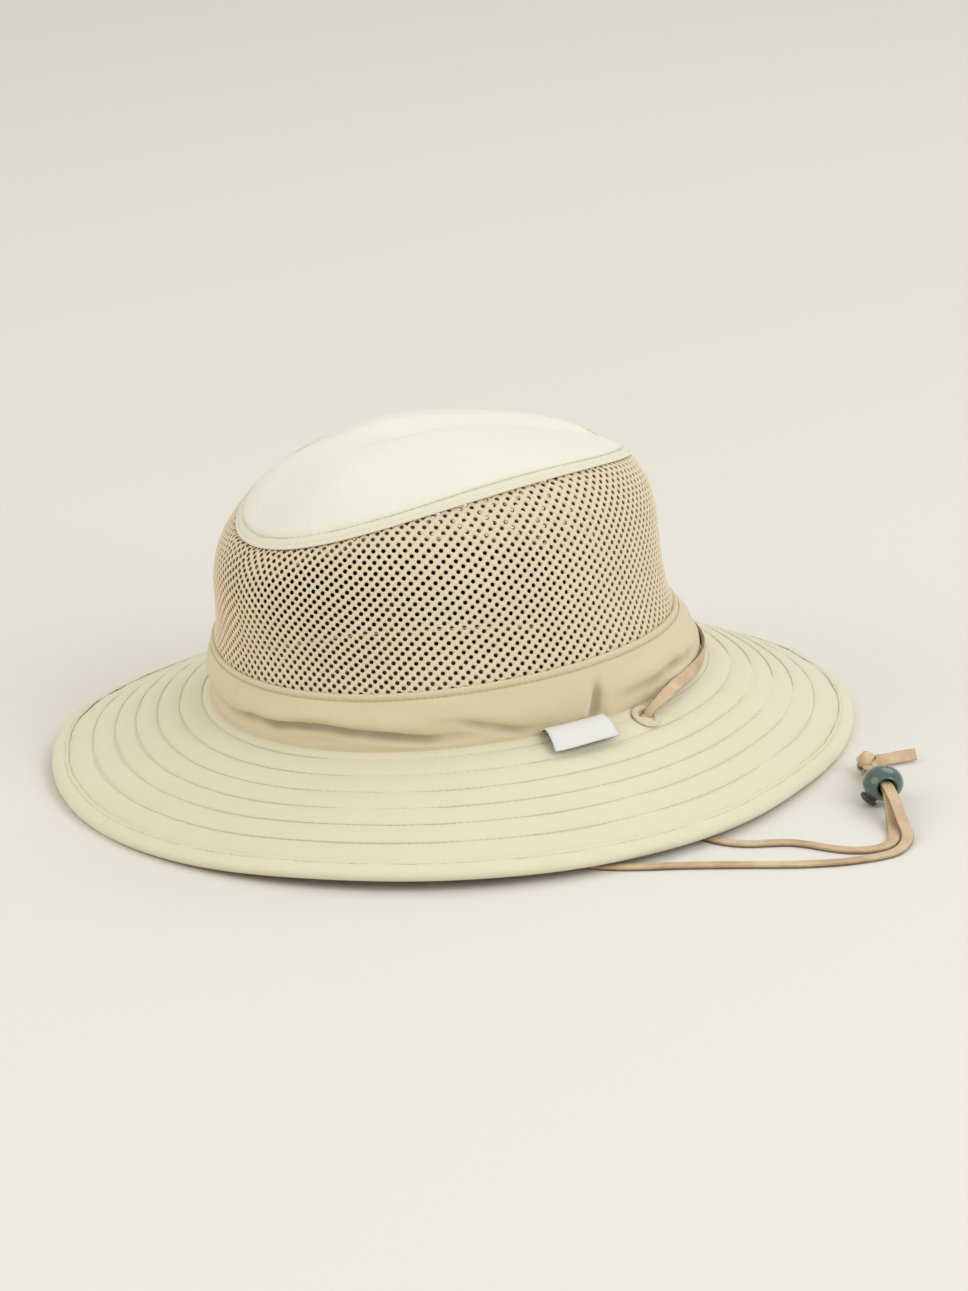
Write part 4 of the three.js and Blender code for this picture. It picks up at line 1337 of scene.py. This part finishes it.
def lace_section(width, thick):
    """A thong's section: (across, through) points of a rectangle with soft corners."""
    angles = np.radians(np.arange(16) * 22.5 + 11.25)
    cos, sin = np.cos(angles), np.sin(angles)
    wide = np.sign(cos) * np.abs(cos) ** 0.36 * width / 2
    return np.stack([wide, np.sign(sin) * np.abs(sin) ** 0.55 * thick / 2], axis=1)


def strap(name, line, wide, width, thick, closed=False, pinched_ends=0):
    """A strap along a line, wide along the given axes, and gathered in an eyelet at its first end or
    at both. Its UVs run along it and round it."""
    deep = np.cross(wide, tangents_of(line))
    section = lace_section(width, thick)
    run = run_along(line)
    waves = np.sin(run / 5.3) * 0.5 + np.sin(run / 2.1 + 1.0) * 0.3 + np.sin(run / 11.0) * 0.5
    swell = 1 + LACE_UNEVEN * waves
    if pinched_ends:
        near = run if pinched_ends == 1 else np.minimum(run, run[-1] - run)
        swell = swell * (1 - PINCH["by"] * smooth(PINCH["from"], PINCH["to"], near))
    sideways = wide[:, None] * (section[None, :, :1] * swell[:, None, None])
    rings = line[:, None] + sideways + deep[:, None] * section[None, :, 1:]
    size, count = len(section), len(line)
    faces = grid_faces(count, size, ring=closed)
    if not closed:
        faces += [list(range(size)), list(range(count * size - 1, (count - 1) * size - 1, -1))]
    round_about = run_along(section)
    girth = round_about[-1] + np.linalg.norm(section[0] - section[-1])
    round_about = (round_about + girth / size / 2) * (LACE_GIRTH / MM / girth)
    uvs = weave_map(run[:, None], round_about[None, :])
    return facing_out(new_object(name, rings.reshape(-1, 3), faces, uvs))


def declare_lace(line):
    """Takes the first point of a stretch of the lace, in metres, and does nothing with it."""
    tuple(line[0] * MM)


def make_lace(name, route, look, axes=lying_axes, twist=0.0, pinched_ends=0):
    """A stretch of the lace, and its centre line. A twist stands it on edge towards its far end."""
    line = smooth_line(route, LACE_STEP)
    tangents = tangents_of(line)
    wide = axes(line, tangents)
    if twist:
        turn = np.linspace(0.75, 1.0, len(line))[:, None] * math.radians(twist)
        wide = wide * np.cos(turn) + np.cross(tangents, wide) * np.sin(turn)
        line = line + np.array([0.0, 0.0, 1.0]) * (LACE_WIDTH / 2 * np.abs(np.sin(turn)))
    piece = "thong_" + name.split("_")[1]
    obj = strap(piece, line, wide, LACE_WIDTH, LACE_THICK, pinched_ends=pinched_ends)
    return give(obj, leather("lace leather", look.lace), "lace_leather", name), line


# How wide the knot spreads along the lace, aside of it and upwards, and its strap's section.
KNOT_SIZE = (1.42, 1.96875, 1.22)
KNOT_STRAP = (4.6, 1.5)


def make_knot(look):
    """A folded overhand knot in the two ends of the lace."""
    t = np.linspace(0, 2 * math.pi, 97)[:-1]
    a = math.radians(TOGGLE_LACE_TURN)
    out = 2 + np.cos(3 * t)
    ahead, aside = out * np.cos(2 * t) * KNOT_SIZE[0], np.sin(3 * t) * KNOT_SIZE[1]
    x = ahead * math.cos(a) - aside * math.sin(a)
    y = ahead * math.sin(a) + aside * math.cos(a)
    line = np.stack([x, y, out * np.sin(2 * t) * KNOT_SIZE[2]], axis=1)
    tangents = unit(np.roll(line, -1, axis=0) - np.roll(line, 1, axis=0))
    wide = unit(np.cross(tangents, unit(line)))
    obj = strap("thong_knot", line + np.array(KNOT_CENTRE), wide, *KNOT_STRAP, closed=True)
    return give(obj, leather("lace leather", look.lace), "lace_leather", "lace_knot")


def make_laces(look):
    knot = make_knot(look)
    left, left_line = make_lace("lace_left", LACE_LEFT, look, pinched_ends=1)
    right, right_line = make_lace("lace_right", LACE_RIGHT, look, pinched_ends=1)
    back, back_line = make_lace("lace_back", LACE_BACK, look, leaning_axes, pinched_ends=2)
    tail, _ = make_lace("lace_tail", LACE_TAIL, look, twist=62.0)
    ball, button = make_toggle(look)
    declare_lace(left_line)
    declare_lace(right_line)
    declare_lace(back_line)


def turned_solid(name, profile, axis, place, columns=40):
    """A solid of revolution from (radius, height) pairs, stood along an axis at a place."""
    z = Vector(axis).normalized()
    x = z.orthogonal().normalized()
    y = z.cross(x)
    verts = []
    for i in range(columns):
        a = 2 * math.pi * i / columns
        side = x * math.cos(a) + y * math.sin(a)
        verts += [Vector(place) + side * radius + z * height for radius, height in profile]
    faces = grid_faces(columns, len(profile), loop=False)
    if profile[0] != profile[-1]:
        first = np.arange(columns) * len(profile)
        faces += [first[::-1].tolist(), (first + len(profile) - 1).tolist()]
    return facing_out(new_object(name, np.array(verts), faces))


def carve(obj, *cutters):
    """Cuts the cutters out of a solid and throws them away."""
    for cutter in cutters:
        modifier = obj.modifiers.new("Cut", "BOOLEAN")
        modifier.operation, modifier.solver, modifier.object = "DIFFERENCE", "EXACT", cutter
    mesh = evaluated(obj)
    obj.modifiers.clear()
    obj.data = mesh
    for cutter in cutters:
        bpy.data.objects.remove(cutter)
    mesh.materials.clear()
    mesh.set_sharp_from_angle(angle=math.radians(38))


# The toggle, along the plunger's axis from the ball's centre, as (radius, height) profiles. The
# ball is flattened and set a little low, and a moulding line runs round its middle.
BALL = {"radius": 8.15, "squash": 0.85, "drop": 0.4, "line": 0.12}
BORE_FLARE = ((3.35, 5.6), (3.7, 6.3), (4.7, 7.4), (5.3, 9.0))
WELL = (
    (2.8, -6.05), (4.6, -4.3), (4.6, 5.9), (4.4, 5.9), (3.1, 5.9), (3.1, 6.2), (4.15, 6.25), (4.2, 9.0),
)
STEM = (
    (2.5, -4.25), (4.3, -2.5), (4.3, 5.3), (4.0, 5.6), (2.8, 5.6), (2.85, 7.9), (3.5, 8.0), (3.8, 8.5),
    (3.75, 9.15), (3.25, 9.7), (2.5, 10.15), (1.6, 10.35), (0.7, 10.4),
)
# The plunger's slot for the lace: across, along the plunger and along the lace.
SLOT = ((-2.95, 2.95), (-3.25, 4.85), (-7.0, 7.0))
SLOT_SIDES = ((0, 1, 3, 2), (4, 6, 7, 5), (0, 4, 5, 1), (2, 3, 7, 6), (0, 2, 6, 4), (1, 5, 7, 3))


def make_toggle(look):
    """The ball toggle, bored for both strands of the lace, and its sprung plunger."""
    a, dip = math.radians(TOGGLE_LACE_TURN), math.radians(PLUNGER_DIP)
    lace = Vector((math.cos(a), math.sin(a), 0.0))
    press = Vector((-math.sin(a) * math.cos(dip), math.cos(a) * math.cos(dip), -math.sin(dip)))
    aside = press.cross(lace).normalized()
    place, radius = Vector(TOGGLE_CENTRE), BALL["radius"]

    turns = [math.radians(q) for q in range(0, 181, 5)]
    arc = [(radius * math.sin(q), -radius * math.cos(q)) for q in turns]
    arc[0], arc[-1] = (0.02, -radius), (0.02, radius)
    arc[len(arc) // 2] = (radius - BALL["line"], 0.0)
    ball = turned_solid("toggle_ball", arc, press, place, 64)
    for vertex in ball.data.vertices:
        up = vertex.co.z / MM - place.z
        vertex.co.z = (place.z + up * BALL["squash"] - BALL["drop"]) * MM
    bore = [(r, -h) for r, h in BORE_FLARE[::-1]] + list(BORE_FLARE)
    carve(ball, turned_solid("bore", bore, lace, place), turned_solid("well", WELL, press, place))
    give(ball, plastic("toggle plastic", look.toggle, 0.05), "toggle_plastic", "toggle_body")

    plunger = turned_solid("toggle_button", STEM, press, place)
    corners = [
        place + aside * i + press * j + lace * k for i in SLOT[0] for j in SLOT[1] for k in SLOT[2]
    ]
    carve(plunger, facing_out(new_object("slot", np.array(corners), SLOT_SIDES)))
    material = plastic("plunger plastic", look.plunger, 0.3)
    give(plunger, material, "plunger_plastic", "toggle_plunger", body="plunger")
    return ball, plunger


# Eyelets and labels ----------------------------------------------------------

EYELET_PROFILE = (
    (3.3, -4.0), (3.5, -4.15), (5.0, -4.15), (5.9, -3.85), (6.2, -3.3), (6.1, -3.1), (4.3, -3.1),
    (4.3, 0.6), (6.1, 0.6), (6.2, 0.8), (5.9, 1.2), (5.2, 1.48), (4.4, 1.5), (3.7, 1.3), (3.35, 0.8),
    (3.3, 0.2), (3.3, -4.0),
)


def make_eyelets(look):
    for side, turn in EYELETS.items():
        t = np.array([turn])
        s = EYELET_OUT / brim_slant(t)
        place, axis = brim_point(t, s)[0], normals(brim_point, t, s)[0]
        obj = turned_solid("ring_" + side, EYELET_PROFILE, axis, place)
        obj.data.set_sharp_from_angle(angle=math.radians(50))
        give(obj, enamel("eyelet enamel", look.eyelet), "eyelet_enamel", "eyelet_" + side)


def sheets(name, *patches):
    """Closed sheets in one object. Each lies between two matching grids of points, and has the UVs
    of one of them."""
    verts, faces, uvs = [], [], []
    for top, low, uv in patches:
        count, size = top.shape[:2]
        start, half = len(verts), count * size
        verts += [*top.reshape(-1, 3), *low.reshape(-1, 3)]
        uvs += [*uv, *uv]
        quads = start + np.array(grid_faces(count, size, ring=False, loop=False))
        grid = start + np.arange(half).reshape(count, size)
        edge = np.concatenate([grid[0], grid[1:, -1], grid[-1, -2::-1], grid[-2:0:-1, 0]])
        after = np.roll(edge, -1)
        rim = np.stack([edge, after, half + after, half + edge], axis=1)
        faces += np.concatenate([quads, half + quads[:, [0, 3, 2, 1]], rim]).tolist()
    return facing_out(new_object(name, np.array(verts), faces, np.array(uvs)))


# The brim's label: its middle and span in degrees of turn, and its cloth and UVs in millimetres.
LABEL = {"turn": 86.6, "span": 14.6, "wide": 23.5, "step": 4.0, "cloth": 0.5}
# The label's arch out from the brim seam: distance out and height over the seam.
LABEL_ARCH = rows(
    ("run", "out", "up"),
    (0, 0.5, 1.2),
    (1, 2.6, 3.0),
    (2, 6.0, 2.7),
    (3, 9.5, 0.5),
    (4, 12.7, -2.7),
)


def make_brim_label(look):
    """The folded tape label sewn in at the brim seam, left bare, with painted shadow on its underside.
    """
    side, run = np.linspace(-0.5, 0.5, 25), np.linspace(0, 4, 21)
    out, up = along(LABEL_ARCH, "run", "out", run), along(LABEL_ARCH, "run", "up", run)
    slope = unit(np.stack([np.gradient(out), np.gradient(up)], axis=1))
    lift = 0.25 * np.sin(side * 5.0 + 0.6)[:, None] * (run / 4)[None, :] ** 1.5
    turn = LABEL["turn"] + LABEL["span"] * side
    way = oval(BRIM_SEAM, turn + 0.5) - oval(BRIM_SEAM, turn - 0.5)
    outwards = unit(np.stack([way[:, 1], -way[:, 0], np.zeros(len(turn))], axis=1))

    def layer(depth):
        ahead = (out - slope[:, 1] * depth)[None, :, None]
        p = oval(BRIM_SEAM, turn)[:, None] + outwards[:, None] * ahead
        p[..., 2] += up + slope[:, 0] * depth + lift
        return p

    uvs = weave_map(side[:, None] * LABEL["wide"], run[None, :] * LABEL["step"])
    obj = sheets("label", (layer(LABEL["cloth"]), layer(0.0), uvs))
    give(obj, tape(look), "white_tape", "brim_label")
    # Painted shadow: the label's downward faces take a dark cloth for the shade under its arch.
    obj.data.materials.append(cloth("label lining", look.label_lining, thread=0.3, contrast=0.1))
    for face in obj.data.polygons:
        if face.normal.z < -0.2:
            face.material_index = 1


# The care tag: where on the sweatband it hangs and how far inwards, how far apart its leaves are,
# and by how many degrees each is turned aside.
TAG = {"width": 24.0, "long": 30.0, "cloth": 0.55}
TAG |= {"up": 0.85, "inwards": 6.45, "apart": 1.0, "spread": 6.0}


def make_care_tag(look):
    """Two bare tape leaves that hang from the top of the sweatband at the back."""
    t, u = np.array([180.0]), np.array([TAG["up"]])
    outwards = normals(plain_band_point, t, u)[0]
    sideways = np.array([1.0, 0.0, 0.0])
    upwards = np.cross(sideways, outwards)
    top = plain_band_point(t, u)[0] - outwards * TAG["inwards"]
    side = np.linspace(-0.5, 0.5, 13)[:, None] * TAG["width"]
    down = np.linspace(0, 1, 17)[None, :] * TAG["long"]
    leaves = []
    for tilt, back in ((TAG["spread"], 0.0), (-TAG["spread"], TAG["apart"])):
        a = math.radians(tilt)
        x = side * math.cos(a) - down * math.sin(a)
        z = -(down * math.cos(a) + side * math.sin(a))
        curl = 0.35 * np.sin(down / TAG["long"] * 3.0 + tilt) + 0.02 * side * down / TAG["long"]
        grids = []
        for depth in (back, back + TAG["cloth"]):
            y = -depth - curl * 0.5
            grids.append(
                top + x[..., None] * sideways + y[..., None] * outwards + z[..., None] * upwards
            )
        leaves.append((*grids, weave_map(side, down)))
    give(sheets("tag", *leaves), tape(look), "white_tape", "care_tag")


# ---------------------------------------------------------------------------
# Stage
# ---------------------------------------------------------------------------

# Turns and heights in degrees round the camera's aim, and distances in millimetres.
CAMERA = {"turn": 55.0, "height": 19.54, "away": 2000.0, "aim": (5.96, 5.43, 43.7), "lens": 138.53}
# Lamps: turn, height, distance, width in metres, watts and colour.
LIGHTS = {
    "key light": (-8.0, 36.0, 1900.0, 1.5, 8.3, (1.0, 1.0, 1.0)),
    "side light": (108.0, 36.0, 2000.0, 1.5, 14.6, (0.91, 0.95, 1.0)),
    "back light": (200.0, 50.0, 2100.0, 1.4, 7.2, (0.93, 0.96, 1.0)),
}
WORLD_COLOUR = (1.0, 0.992, 0.975, 1.0)
WORLD_STRENGTH = 0.66
# The floor's half width and its gap under the hat, in metres.
FLOOR_HALF = 6.0
FLOOR_GAP = 0.0001


def aimed(name, data, turn, height, away):
    """An object at a turn, height and distance from the camera's aim, looking at it."""
    a, e = math.radians(turn), math.radians(height)
    way = Vector((math.sin(a) * math.cos(e), -math.cos(a) * math.cos(e), math.sin(e)))
    aim = Vector(CAMERA["aim"])
    place = aim + way * away
    obj = linked(name, data)
    obj.location = place * MM
    obj.rotation_euler = (aim - place).to_track_quat("-Z", "Y").to_euler()
    return obj


def make_stage(look):
    scene = bpy.context.scene
    low = CAD_BOX[0].z - FLOOR_GAP
    corners = [(x * FLOOR_HALF, y * FLOOR_HALF, low) for x, y in ((-1, -1), (1, -1), (1, 1), (-1, 1))]
    mesh = bpy.data.meshes.new("floor")
    mesh.from_pydata(corners, [], [(0, 1, 2, 3)])
    mesh.materials.append(Finish("floor").finish(look.floor, 0.9, Specular_IOR_Level=0.0))
    linked("floor", mesh)

    lens = bpy.data.cameras.new("camera")
    lens.lens, lens.sensor_width = CAMERA["lens"], 36.0
    lens.clip_start, lens.clip_end = 0.05, 20.0
    scene.camera = aimed("camera", lens, CAMERA["turn"], CAMERA["height"], CAMERA["away"])
    for name, (turn, height, away, size, power, tint) in LIGHTS.items():
        light = bpy.data.lights.new(name, "AREA")
        light.shape, light.size, light.energy, light.color = "DISK", size, power, tint
        aimed(name, light, turn, height, away)

    world = bpy.data.worlds.new("studio")
    world.use_nodes = True
    sky = world.node_tree.nodes["Background"].inputs
    sky[0].default_value, sky[1].default_value = WORLD_COLOUR, WORLD_STRENGTH
    scene.world = world
    scene.view_settings.view_transform = "Standard"


# ---------------------------------------------------------------------------
# Add-on
# ---------------------------------------------------------------------------


def tone(name, text, value):
    """A colour property, given as it looks on screen."""
    linear = tuple(c / 12.92 if c <= 0.04045 else ((c + 0.055) / 1.055) ** 2.4 for c in value)
    return FloatVectorProperty(
        name=name, description=text, subtype="COLOR", size=3, min=0.0, max=1.0, default=linear
    )


def length(name, text, value):
    """A length property, given in millimetres."""
    return FloatProperty(
        name=name, description=text, subtype="DISTANCE", unit="LENGTH", min=0.0, default=value * MM
    )


class HatLook(bpy.types.PropertyGroup):
    """Colours of the hat's cloths, lace and fittings"""

    khaki: tone("Brim", "Cloth of the brim's upper side", (0.87, 0.845, 0.725))
    binding: tone("Binding", "Cloth round the brim's edge", (0.875, 0.85, 0.735))
    band: tone("Band", "Cloth band round the crown", (0.845, 0.79, 0.655))
    ivory: tone("Top", "Cloth of the crown's top", (0.915, 0.90, 0.838))
    net: tone("Net", "Yarn of the crown's open net", (0.90, 0.848, 0.715))
    net_inside: tone("Net inside", "Inner side of the net", (0.86, 0.66, 0.50))
    olive: tone("Under brim", "Cloth of the brim's under side", (0.31, 0.31, 0.245))
    black: tone("Sweatband", "Sweatband and top lining", (0.13, 0.135, 0.14))
    label: tone("Labels", "Tape of the two bare labels", (0.89, 0.88, 0.86))
    # Painted shadow: dark tone of the label's downward faces, for the shade under its arch.
    label_lining: tone("Label lining", "Inner side of the brim's label", (0.27, 0.31, 0.35))
    eyelet: tone("Eyelets", "Enamel of the eyelets", (0.85, 0.81, 0.67))
    lace: tone("Lace", "Leather of the chin lace", (0.79, 0.70, 0.56))
    toggle: tone("Toggle", "Plastic of the ball", (0.285, 0.37, 0.33))
    plunger: tone("Plunger", "Plastic of the toggle's plunger", (0.13, 0.15, 0.15))
    thread: tone("Brim thread", "Thread on the brim's upper side", (0.875, 0.85, 0.73))
    under_thread: tone("Under thread", "Thread on the brim's under side", (0.45, 0.45, 0.36))
    band_thread: tone("Band thread", "Thread along the band", (0.76, 0.70, 0.56))
    top_thread: tone("Top thread", "Thread round the crown's top", (0.86, 0.84, 0.76))
    floor: tone("Floor", "Colour of the studio floor", (0.905, 0.885, 0.845))


class HatSizes(bpy.types.PropertyGroup):
    """Sizes of the hat's fine work"""

    net_hole: length("Net hole", "Width of one hole of the net", 1.8)
    stitch_pitch: length("Stitch pitch", "Distance from one stitch to the next", 2.7)
    thread: length("Thread", "Thickness of the sewing thread", 0.44)


class HAT_OT_stage(bpy.types.Operator):
    """Make the floor, the lights and the camera"""

    bl_idname = "hat.stage"
    bl_label = "Stage"

    def execute(self, context):
        make_stage(context.scene.hat_look)
        return {"FINISHED"}


class HAT_OT_laces(bpy.types.Operator):
    """Make the chin lace, its knot and its toggle"""

    bl_idname = "hat.laces"
    bl_label = "Chin lace"

    def execute(self, context):
        make_laces(context.scene.hat_look)
        return {"FINISHED"}


class HAT_OT_brim_upper(bpy.types.Operator):
    """Make the upper cloth of the brim"""

    bl_idname = "hat.brim_upper"
    bl_label = "Brim"

    def execute(self, context):
        make_brim_upper(context.scene.hat_look)
        return {"FINISHED"}


class HAT_OT_brim_under(bpy.types.Operator):
    """Make the under cloth of the brim"""

    bl_idname = "hat.brim_under"
    bl_label = "Under brim"

    def execute(self, context):
        make_brim_under(context.scene.hat_look)
        return {"FINISHED"}


class HAT_OT_binding(bpy.types.Operator):
    """Make the bound edge of the brim"""

    bl_idname = "hat.binding"
    bl_label = "Binding"

    def execute(self, context):
        make_binding(context.scene.hat_look)
        return {"FINISHED"}


class HAT_OT_band(bpy.types.Operator):
    """Make the cloth band under the net"""

    bl_idname = "hat.band"
    bl_label = "Crown band"

    def execute(self, context):
        make_band(context.scene.hat_look)
        return {"FINISHED"}


class HAT_OT_net(bpy.types.Operator):
    """Make the open net of the crown"""

    bl_idname = "hat.net"
    bl_label = "Net"

    def execute(self, context):
        make_net(context.scene.hat_look, context.scene.hat_sizes)
        return {"FINISHED"}


class HAT_OT_top(bpy.types.Operator):
    """Make the cloth top of the crown"""

    bl_idname = "hat.top"
    bl_label = "Crown top"

    def execute(self, context):
        make_top(context.scene.hat_look)
        return {"FINISHED"}


class HAT_OT_top_lining(bpy.types.Operator):
    """Make the lining of the top"""

    bl_idname = "hat.top_lining"
    bl_label = "Top lining"

    def execute(self, context):
        make_top_lining(context.scene.hat_look)
        return {"FINISHED"}


class HAT_OT_sweatband(bpy.types.Operator):
    """Make the band inside the crown"""

    bl_idname = "hat.sweatband"
    bl_label = "Sweatband"

    def execute(self, context):
        make_sweatband(context.scene.hat_look)
        return {"FINISHED"}


class HAT_OT_eyelets(bpy.types.Operator):
    """Make the eyelets for the lace"""

    bl_idname = "hat.eyelets"
    bl_label = "Eyelets"

    def execute(self, context):
        make_eyelets(context.scene.hat_look)
        return {"FINISHED"}


class HAT_OT_brim_label(bpy.types.Operator):
    """Make the bare label on the brim"""

    bl_idname = "hat.brim_label"
    bl_label = "Brim label"

    def execute(self, context):
        make_brim_label(context.scene.hat_look)
        return {"FINISHED"}


class HAT_OT_care_tag(bpy.types.Operator):
    """Make the bare tag inside the back"""

    bl_idname = "hat.care_tag"
    bl_label = "Care tag"

    def execute(self, context):
        make_care_tag(context.scene.hat_look)
        return {"FINISHED"}


class HAT_OT_stitches(bpy.types.Operator):
    """Make all rows of stitching"""

    bl_idname = "hat.stitches"
    bl_label = "Stitches"

    def execute(self, context):
        make_stitches(context.scene.hat_look, context.scene.hat_sizes)
        return {"FINISHED"}


OPERATORS = (
    HAT_OT_stage,
    HAT_OT_laces,
    HAT_OT_brim_upper,
    HAT_OT_brim_under,
    HAT_OT_binding,
    HAT_OT_band,
    HAT_OT_net,
    HAT_OT_top,
    HAT_OT_top_lining,
    HAT_OT_sweatband,
    HAT_OT_eyelets,
    HAT_OT_brim_label,
    HAT_OT_care_tag,
    HAT_OT_stitches,
)


class HAT_PT_panel(bpy.types.Panel):
    """Sizes, colours and pieces of the hat"""

    bl_idname = "HAT_PT_panel"
    bl_label = "Soft sun hat"
    bl_space_type = "VIEW_3D"
    bl_region_type = "UI"
    bl_category = "Hat"

    def draw(self, context):
        for group in (context.scene.hat_sizes, context.scene.hat_look):
            box = self.layout.box()
            for name in type(group).__annotations__:
                box.prop(group, name)
        column = self.layout.column()
        for item in OPERATORS:
            column.operator(item.bl_idname)


CLASSES = (HatLook, HatSizes, *OPERATORS, HAT_PT_panel)


def register():
    for item in CLASSES:
        bpy.utils.register_class(item)
    bpy.types.Scene.hat_look = PointerProperty(type=HatLook)
    bpy.types.Scene.hat_sizes = PointerProperty(type=HatSizes)


def unregister():
    del bpy.types.Scene.hat_sizes
    del bpy.types.Scene.hat_look
    for item in reversed(CLASSES):
        bpy.utils.unregister_class(item)


def main():
    register()
    for item in OPERATORS:
        name = item.bl_idname.split(".")[1]
        if getattr(bpy.ops.hat, name)() != {"FINISHED"}:
            raise RuntimeError(name + " did not finish")


if __name__ == "__main__":
    main()
